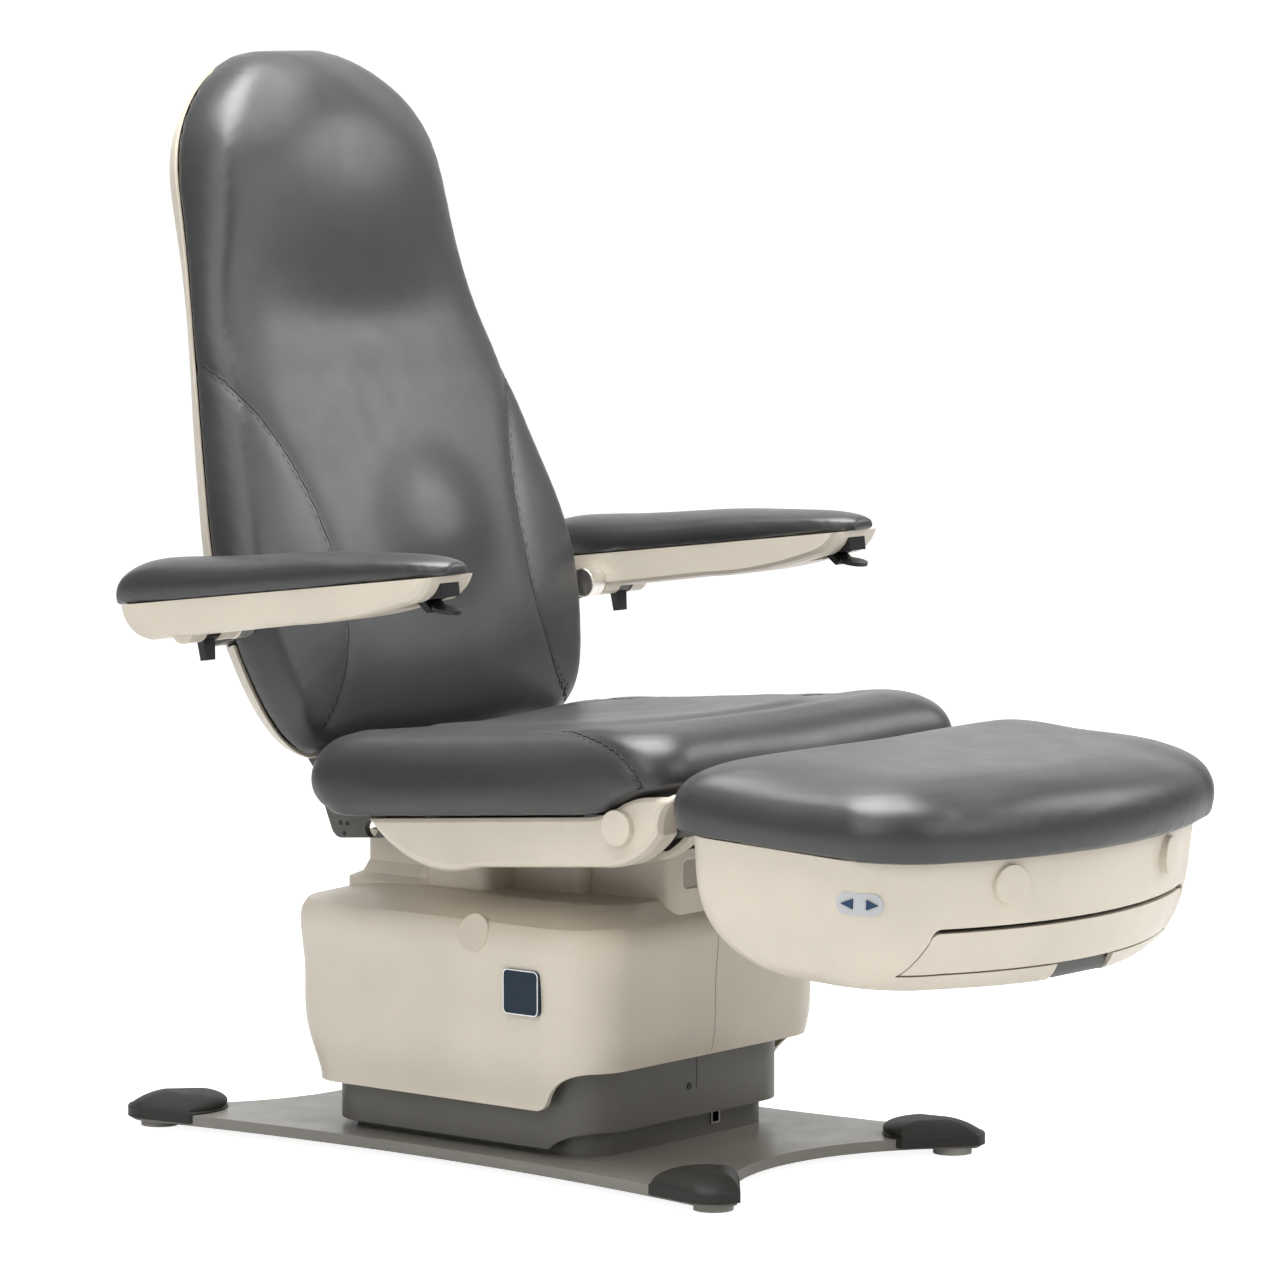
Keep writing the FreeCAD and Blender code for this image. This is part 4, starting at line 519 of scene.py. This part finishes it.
# Back: head pillow, hollow of the neck, lumbar mound and two sewn side panels.
# A mound has its centre, its half-sizes (0 where it has no end), rise, direction and fullness.
BACK_BOARD = 0.003
BACK_MOUNDS = (
    ((0, 0, 0.700), (0.172, 0, 0.160), 0.022, FORWARD, 1.5),
    ((0, 0, 0.490), (0.200, 0, 0.055), -0.008, FORWARD, 1.0),
    ((0.01, 0, 0.268), (0.078, 0, 0.074), 0.014, FORWARD, 1.5),
)
BACK_SEAM = (
    (0.2325, -0.0050, 0.468),
    (0.2345, -0.0145, 0.461),
    (0.2335, -0.0240, 0.453),
    (0.2310, -0.0310, 0.445),
    (0.2270, -0.0365, 0.435),
    (0.2215, -0.0405, 0.425),
    (0.2140, -0.0425, 0.4125),
    (0.2060, -0.0440, 0.400),
    (0.1985, -0.0450, 0.384),
    (0.1840, -0.0490, 0.350),
    (0.1690, -0.0520, 0.303),
    (0.1580, -0.0550, 0.240),
    (0.1560, -0.0550, 0.170),
    (0.1660, -0.0550, 0.124),
    (0.1860, -0.0550, 0.076),
    (0.2120, -0.0500, 0.036),
)
upholster(
    "back_upholstery", "back_cushion", "back", back_place, rear_of(back_place, BACK_BOARD),
    voxel=0.006, rounds=16, reach=0.007,
    mounds=BACK_MOUNDS, seams=(BACK_SEAM, mirrored(BACK_SEAM)),
)

# Seat: hollowed middle between two sewn side panels
SEAT_BOARD = 0.026
SEAT_MOUNDS = (
    ((0, -0.150, 0), (0.150, 0.240, 0), -0.010, UPWARD, 1.0),
)
SEAT_TOP = 0.105
SEAT_SEAM = (
    (0.205, 0.020, SEAT_TOP),
    (0.208, -0.100, SEAT_TOP),
    (0.210, -0.220, SEAT_TOP),
    (0.224, -0.320, SEAT_TOP),
    (0.250, -0.372, SEAT_TOP),
    (0.270, -0.415, 0.095),
    (0.276, -0.441, 0.076),
    (0.276, -0.451, 0.060),
    (0.274, -0.453, 0.036),
)
upholster(
    "seat_upholstery", "seat_cushion", "seat", seat_place, foot_of(seat_place, SEAT_BOARD),
    voxel=0.006, rounds=8, reach=0.007,
    mounds=SEAT_MOUNDS, seams=(SEAT_SEAM, mirrored(SEAT_SEAM)),
)

# Leg section and arms: plain crowned pads
LEG_BOARD = 0.004
ARM_BOARD = 0.034
upholster(
    "leg_upholstery", "leg_cushion", "footrest", leg_place, foot_of(leg_place, LEG_BOARD),
    voxel=0.006, rounds=6, reach=0.006,
)
for side, arm_place in arm_places.items():
    upholster(
        "arm_upholstery_" + side, "arm_pad_" + side, "arm_" + side, arm_place,
        foot_of(arm_place, ARM_BOARD), voxel=0.004, rounds=4, reach=0.004,
    )


# Small fittings

# Sizes of a screw head, as parts of its radius
SCREW_CROWN = 0.82
SCREW_HEIGHT = 0.5
SCREW_RIM = 0.36
SOCKET_DEPTH = 0.4
PARTING_HALF = 0.0003
PARTING_THICK = 0.0003
PARTING_PROUD = 0.00015
PARTING_ASIDE = 0.004
PARTING_STEPS = 24
IN_FRONT = 2.0


def finished(shaper, name, place, finish, body):
    """Puts a shaped fitting at its place on the chair."""
    bmesh.ops.transform(shaper, matrix=place, verts=shaper.verts)
    bmesh.ops.recalc_face_normals(shaper, faces=shaper.faces)
    return add_piece(name, mesh_of(shaper, name), finish, body)


def facing(spot, outward):
    """Place whose Z points out of the surface and whose Y points up it."""
    z = Vector(outward).normalized()
    x = Vector(UPWARD).cross(z).normalized()
    y = z.cross(x)
    turn = Matrix((x, y, z)).transposed().to_4x4()
    return Matrix.Translation(spot) @ turn


def socket_screw(name, place, radius, finish, body):
    """Low screw head with a tapered flank and a sunk socket."""
    shaper = bmesh.new()
    bmesh.ops.create_cone(
        shaper, cap_ends=True, segments=24,
        radius1=radius, radius2=radius * SCREW_CROWN, depth=radius * SCREW_HEIGHT,
    )
    crown = max(shaper.faces, key=lambda face: face.calc_center_median().z)
    bmesh.ops.inset_region(shaper, faces=[crown], thickness=radius * SCREW_RIM)
    crown = max(
        shaper.faces, key=lambda face: (face.calc_center_median().z, len(face.verts)),
    )
    sunk = bmesh.ops.extrude_discrete_faces(shaper, faces=[crown])["faces"]
    bmesh.ops.translate(shaper, verts=sunk[0].verts[:], vec=(0, 0, -radius * SOCKET_DEPTH))
    finished(shaper, name, place, finish, body)


def rounded_rim(name, place, half, corner, width, rise, finish, body):
    """Thin raised frame with rounded corners."""
    shaper = bmesh.new()
    bmesh.ops.create_grid(shaper, x_segments=1, y_segments=1, size=half)
    bmesh.ops.bevel(
        shaper, geom=shaper.verts[:], offset=corner, segments=5, profile=0.5,
        affect="VERTICES", material=-1,
    )
    bmesh.ops.inset_region(
        shaper, faces=shaper.faces[:], thickness=width, use_boundary=True, use_even_offset=True,
    )
    middle = max(shaper.faces, key=lambda face: face.calc_area())
    bmesh.ops.delete(shaper, geom=[middle], context="FACES_ONLY")
    bmesh.ops.solidify(shaper, geom=shaper.faces[:], thickness=-rise)
    low = min(v.co.z for v in shaper.verts)
    bmesh.ops.translate(shaper, verts=shaper.verts, vec=(0, 0, -low))
    finished(shaper, name, place, finish, body)


def node_tree(*names):
    corners, faces = [], []
    for name in names:
        mesh = frame["nodes"][name].data
        start = len(corners)
        corners += [v.co.copy() for v in mesh.vertices]
        faces += [tuple(start + i for i in face.vertices) for face in mesh.polygons]
    return BVHTree.FromPolygons(corners, faces)


def front_of(tree, x, z):
    """First point of some nodes that is met from the front of the chair."""
    return tree.ray_cast(Vector((x, -IN_FRONT, z)), Vector((0, 1, 0)))[0]


def grown_edge(geometry):
    return next(item for item in geometry if isinstance(item, bmesh.types.BMEdge))


def grown_corners(geometry):
    return [item for item in geometry if isinstance(item, bmesh.types.BMVert)]


def parting_line(name, tree, run, finish, body):
    """Dark hairline down the front where two cover halves meet, at the depth found beside it:
    painted shade of the gap between them.
    """
    low, high = run
    shaper = bmesh.new()
    edge = None
    for step in range(PARTING_STEPS + 1):
        z = low + (high - low) * step / PARTING_STEPS
        spot = front_of(tree, PARTING_ASIDE, z)
        if spot is None:
            continue
        y = spot.y - PARTING_PROUD
        if edge is None:
            ends = [shaper.verts.new((x, y, z)) for x in (-PARTING_HALF, PARTING_HALF)]
            edge = shaper.edges.new(ends)
        else:
            edge = grown_edge(bmesh.ops.extrude_edge_only(shaper, edges=[edge])["geom"])
            for v in edge.verts:
                v.co.y = y
                v.co.z = z
    bmesh.ops.solidify(shaper, geom=shaper.faces[:], thickness=PARTING_THICK)
    finished(shaper, name, Matrix.Identity(4), finish, body)


# Parting lines of the covers as dark hairlines of painted gap shade, from their foot to their
# top, and one screw beside each
MAIN_SEAM = (0.120, 0.262)
MAIN_SCREW = (-0.008, 0.1245)
MAIN_SCREW_R = 0.0035
MID_SEAM = (0.078, 0.116)
MID_SCREW = (-0.013, 0.0816)
MID_SCREW_R = 0.0042
main_front = node_tree("main_cover_right", "main_cover_left")
mid_front = node_tree("mid_cover_right", "mid_cover_left")
parting_line("main_cover_seam", main_front, MAIN_SEAM, gap_painted_shade, "carriage")
parting_line("mid_cover_seam", mid_front, MID_SEAM, black, "mid_cover")
socket_screw(
    "main_cover_screw", facing(front_of(main_front, *MAIN_SCREW), FORWARD), MAIN_SCREW_R,
    beige, "carriage",
)
socket_screw(
    "mid_cover_screw", facing(front_of(mid_front, *MID_SCREW), FORWARD), MID_SCREW_R,
    black, "mid_cover",
)

# Rims of the two badges and of the jack
BADGE_CORNER = 0.006
BADGE_RIM = 0.0012
BADGE_RISE = 0.0005
JACK_HALF = 0.0072
JACK_CORNER = 0.0012
JACK_RIM = 0.0016
JACK_RISE = 0.0008
badge_low, badge_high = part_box("badge_plates")
badge_y = (badge_low[1] + badge_high[1]) / 2
badge_z = (badge_low[2] + badge_high[2]) / 2
badge_half = (badge_high[2] - badge_low[2]) / 2
for (side, sign), x in zip(SIDES, (badge_low[0], badge_high[0])):
    rounded_rim(
        "badge_edge_" + side, facing((x, badge_y, badge_z), (sign, 0, 0)), badge_half,
        BADGE_CORNER, BADGE_RIM, BADGE_RISE, trim_silver, "carriage",
    )

jack_low, jack_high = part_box("data_jack")
jack_x = (jack_low[0] + jack_high[0]) / 2
jack_z = (jack_low[2] + jack_high[2]) / 2
rounded_rim(
    "jack_shroud", facing((jack_x, jack_low[1], jack_z), FORWARD), JACK_HALF,
    JACK_CORNER, JACK_RIM, JACK_RISE, steel, "base",
)

# Pale sleeves round the axles, between the back and each arm
SLEEVE_R = 0.0166
SLEEVE_FROM = 0.2815
SLEEVE_TO = 0.3045
SLEEVE_EDGE = 0.0016
for side, sign in SIDES:
    pivot = pivots["arm_swing_" + side]
    sleeve = bmesh.new()
    bmesh.ops.create_cone(
        sleeve, cap_ends=True, segments=40,
        radius1=SLEEVE_R, radius2=SLEEVE_R, depth=SLEEVE_TO - SLEEVE_FROM,
    )
    rims = [edge for edge in sleeve.edges if len({round(v.co.z, 5) for v in edge.verts}) == 1]
    bmesh.ops.bevel(
        sleeve, geom=rims, offset=SLEEVE_EDGE, segments=2, profile=0.5,
        affect="EDGES", material=-1,
    )
    middle = Vector((sign * (SLEEVE_FROM + SLEEVE_TO) / 2, pivot.y, pivot.z))
    finished(
        sleeve, "arm_sleeve_" + side, facing(middle, (sign, 0, 0)), sleeve_grey, "back",
    )

# Black catch housing in the lever slot at each arm's tip
CATCH_HALF = 0.0144
CATCH_RUN = (0.291, 0.349)
CATCH_RISE = (0.009, 0.0236)
CATCH_WALL = 0.0009
CATCH_EDGE = 0.0002
run_mid = -(CATCH_RUN[0] + CATCH_RUN[1]) / 2
run_long = CATCH_RUN[1] - CATCH_RUN[0]
rise_mid = (CATCH_RISE[0] + CATCH_RISE[1]) / 2
rise_high = CATCH_RISE[1] - CATCH_RISE[0]
for side, arm_place in arm_places.items():
    housing = bmesh.new()
    for spot, size in (
        ((-CATCH_HALF, run_mid, rise_mid), (CATCH_WALL, run_long, rise_high)),
        ((CATCH_HALF, run_mid, rise_mid), (CATCH_WALL, run_long, rise_high)),
        ((0, -CATCH_RUN[1], rise_mid), (2 * CATCH_HALF, CATCH_WALL, rise_high)),
    ):
        wall_place = Matrix.Translation(spot) @ Matrix.Diagonal((*size, 1.0))
        bmesh.ops.create_cube(housing, size=1.0, matrix=wall_place)
    bmesh.ops.bevel(
        housing, geom=housing.edges[:], offset=CATCH_EDGE, segments=1, profile=0.5,
        affect="EDGES", material=-1,
    )
    finished(housing, "arm_catch_" + side, arm_place, black, "arm_" + side)

# Screws of the back hinge plates, under the rear of the seat
HINGE_SCREWS = ((0.0392, -0.0046), (0.0436, 0.0068), (0.0342, 0.0060))
HINGE_SCREW_R = 0.0028
HINGE_PLATE_X = 0.176
for side, sign in SIDES:
    for number, (y, z) in enumerate(HINGE_SCREWS, 1):
        spot = seat_place @ Vector((sign * HINGE_PLATE_X, y, z))
        socket_screw(
            "hinge_screw_%s_%d" % (side, number), facing(spot, (sign, 0, 0)), HINGE_SCREW_R,
            black, "seat",
        )


# Studio: floor and curved backdrop of white paper

FLOOR_HALF = 14.0
BACKDROP_BACK = 6.0
BACKDROP_HALF = 4.5
BACKDROP_RUN = 2.0
BACKDROP_RISE = 7.0
BACKDROP_CURVE = 1.8
BACKDROP_LIFT = 0.001
PAPER_TONE = 0.58
PAPER_ROUGHNESS = 0.9
PAPER_SEEN = 0.90
FLOOR_MIRRORED = 0.32
BACKDROP_MIRRORED = 1.0
SKY_LEVEL = 0.19


def combined(nodes, links, operation, source, other):
    """Output of a math node on one output and a number or another output."""
    node = nodes.new("ShaderNodeMath")
    node.operation = operation
    links.new(source, node.inputs[0])
    if isinstance(other, float):
        node.inputs[1].default_value = other
    else:
        links.new(other, node.inputs[1])
    return node.outputs[0]


def white_paper(name, mirrored_level):
    """White paper that stays white to the eye and shows at its own level in shiny pieces."""
    paper, nodes, links, shader = new_finish(name)
    shader.inputs["Base Color"].default_value = (PAPER_TONE, PAPER_TONE, PAPER_TONE, 1)
    shader.inputs["Roughness"].default_value = PAPER_ROUGHNESS
    ray = nodes.new("ShaderNodeLightPath")
    seen = combined(nodes, links, "MULTIPLY", ray.outputs["Is Camera Ray"], PAPER_SEEN)
    shine = combined(nodes, links, "MULTIPLY", ray.outputs["Is Glossy Ray"], mirrored_level)
    level = combined(nodes, links, "MAXIMUM", seen, shine)
    shader.inputs["Emission Color"].default_value = (1, 1, 1, 1)
    links.new(level, shader.inputs["Emission Strength"])
    return paper


paper = bmesh.new()
bmesh.ops.create_grid(paper, x_segments=1, y_segments=1, size=FLOOR_HALF)
behind = Matrix.Rotation(VIEW_AZIMUTH, 4, "Z") @ Matrix.Translation((0, BACKDROP_BACK, 0))
ends = [
    paper.verts.new(behind @ Vector((x, 0, BACKDROP_LIFT)))
    for x in (-BACKDROP_HALF, BACKDROP_HALF)
]
foot = paper.edges.new(ends)
sweep = bmesh.ops.extrude_edge_only(paper, edges=[foot])["geom"]
away_from_chair = behind.to_3x3() @ Vector((0, BACKDROP_RUN, 0))
bmesh.ops.translate(paper, verts=grown_corners(sweep), vec=away_from_chair)
fold = grown_edge(sweep)
wall = bmesh.ops.extrude_edge_only(paper, edges=[fold])["geom"]
bmesh.ops.translate(paper, verts=grown_corners(wall), vec=(0, 0, BACKDROP_RISE))
bmesh.ops.bevel(
    paper, geom=[fold], offset=BACKDROP_CURVE, segments=12, profile=0.5,
    affect="EDGES", material=-1,
)
floor_mesh = mesh_of(paper, "studio_floor")
smooth_faces(floor_mesh)
floor = in_scene("studio_floor", floor_mesh)
floor_mesh.materials.append(white_paper("floor_paper", FLOOR_MIRRORED))
floor_mesh.materials.append(white_paper("backdrop_paper", BACKDROP_MIRRORED))
for face in floor_mesh.polygons:
    top = max(floor_mesh.vertices[i].co.z for i in face.vertices)
    face.material_index = 1 if top > 10 * BACKDROP_LIFT else 0


def softbox(name, place, aim, size, power):
    light = bpy.data.lights.new(name, "AREA")
    light.shape = "RECTANGLE"
    light.size, light.size_y = size
    light.energy = power
    lamp = in_scene(name, light)
    lamp.location = place
    lamp.rotation_euler = (Vector(aim) - Vector(place)).to_track_quat("-Z", "Y").to_euler()


softbox("overhead", place=(-0.2, 0.1, 3.3), aim=(0, 0, 0.4), size=(2.4, 2.4), power=195)
softbox("left_side", place=(-3.5, -0.6, 2.3), aim=(0, 0, 0.5), size=(2.8, 2.6), power=48)
softbox("right_front", place=(2.5, -1.9, 2.4), aim=(0, 0.2, 0.9), size=(1.8, 1.5), power=43)
softbox("front", place=(0.2, -3.6, 1.9), aim=(0, -0.5, 0.5), size=(2.4, 1.8), power=30)

world = bpy.data.worlds.new("studio")
bpy.context.scene.world = world
world.use_nodes = True
sky_nodes, sky_links = world.node_tree.nodes, world.node_tree.links
sky = sky_nodes["Background"]
sky.inputs["Color"].default_value = (1, 1, 1, 1)
sky_ray = sky_nodes.new("ShaderNodeLightPath")
sky_level = combined(
    sky_nodes, sky_links, "MAXIMUM", sky_ray.outputs["Is Camera Ray"], SKY_LEVEL,
)
sky_links.new(sky_level, sky.inputs["Strength"])

camera = bpy.data.cameras.new("photo_view")
camera.lens = VIEW_LENS
camera.sensor_width = VIEW_SENSOR
camera.clip_end = VIEW_DEPTH
viewer = in_scene("photo_view", camera)
away = Vector((
    math.sin(VIEW_AZIMUTH) * math.cos(VIEW_PITCH),
    -math.cos(VIEW_AZIMUTH) * math.cos(VIEW_PITCH),
    math.sin(VIEW_PITCH),
))
viewer.location = VIEW_TARGET + away * VIEW_DISTANCE
viewer.rotation_euler = away.to_track_quat("Z", "Y").to_euler()
bpy.context.scene.camera = viewer
bpy.context.scene.view_settings.view_transform = "Standard"
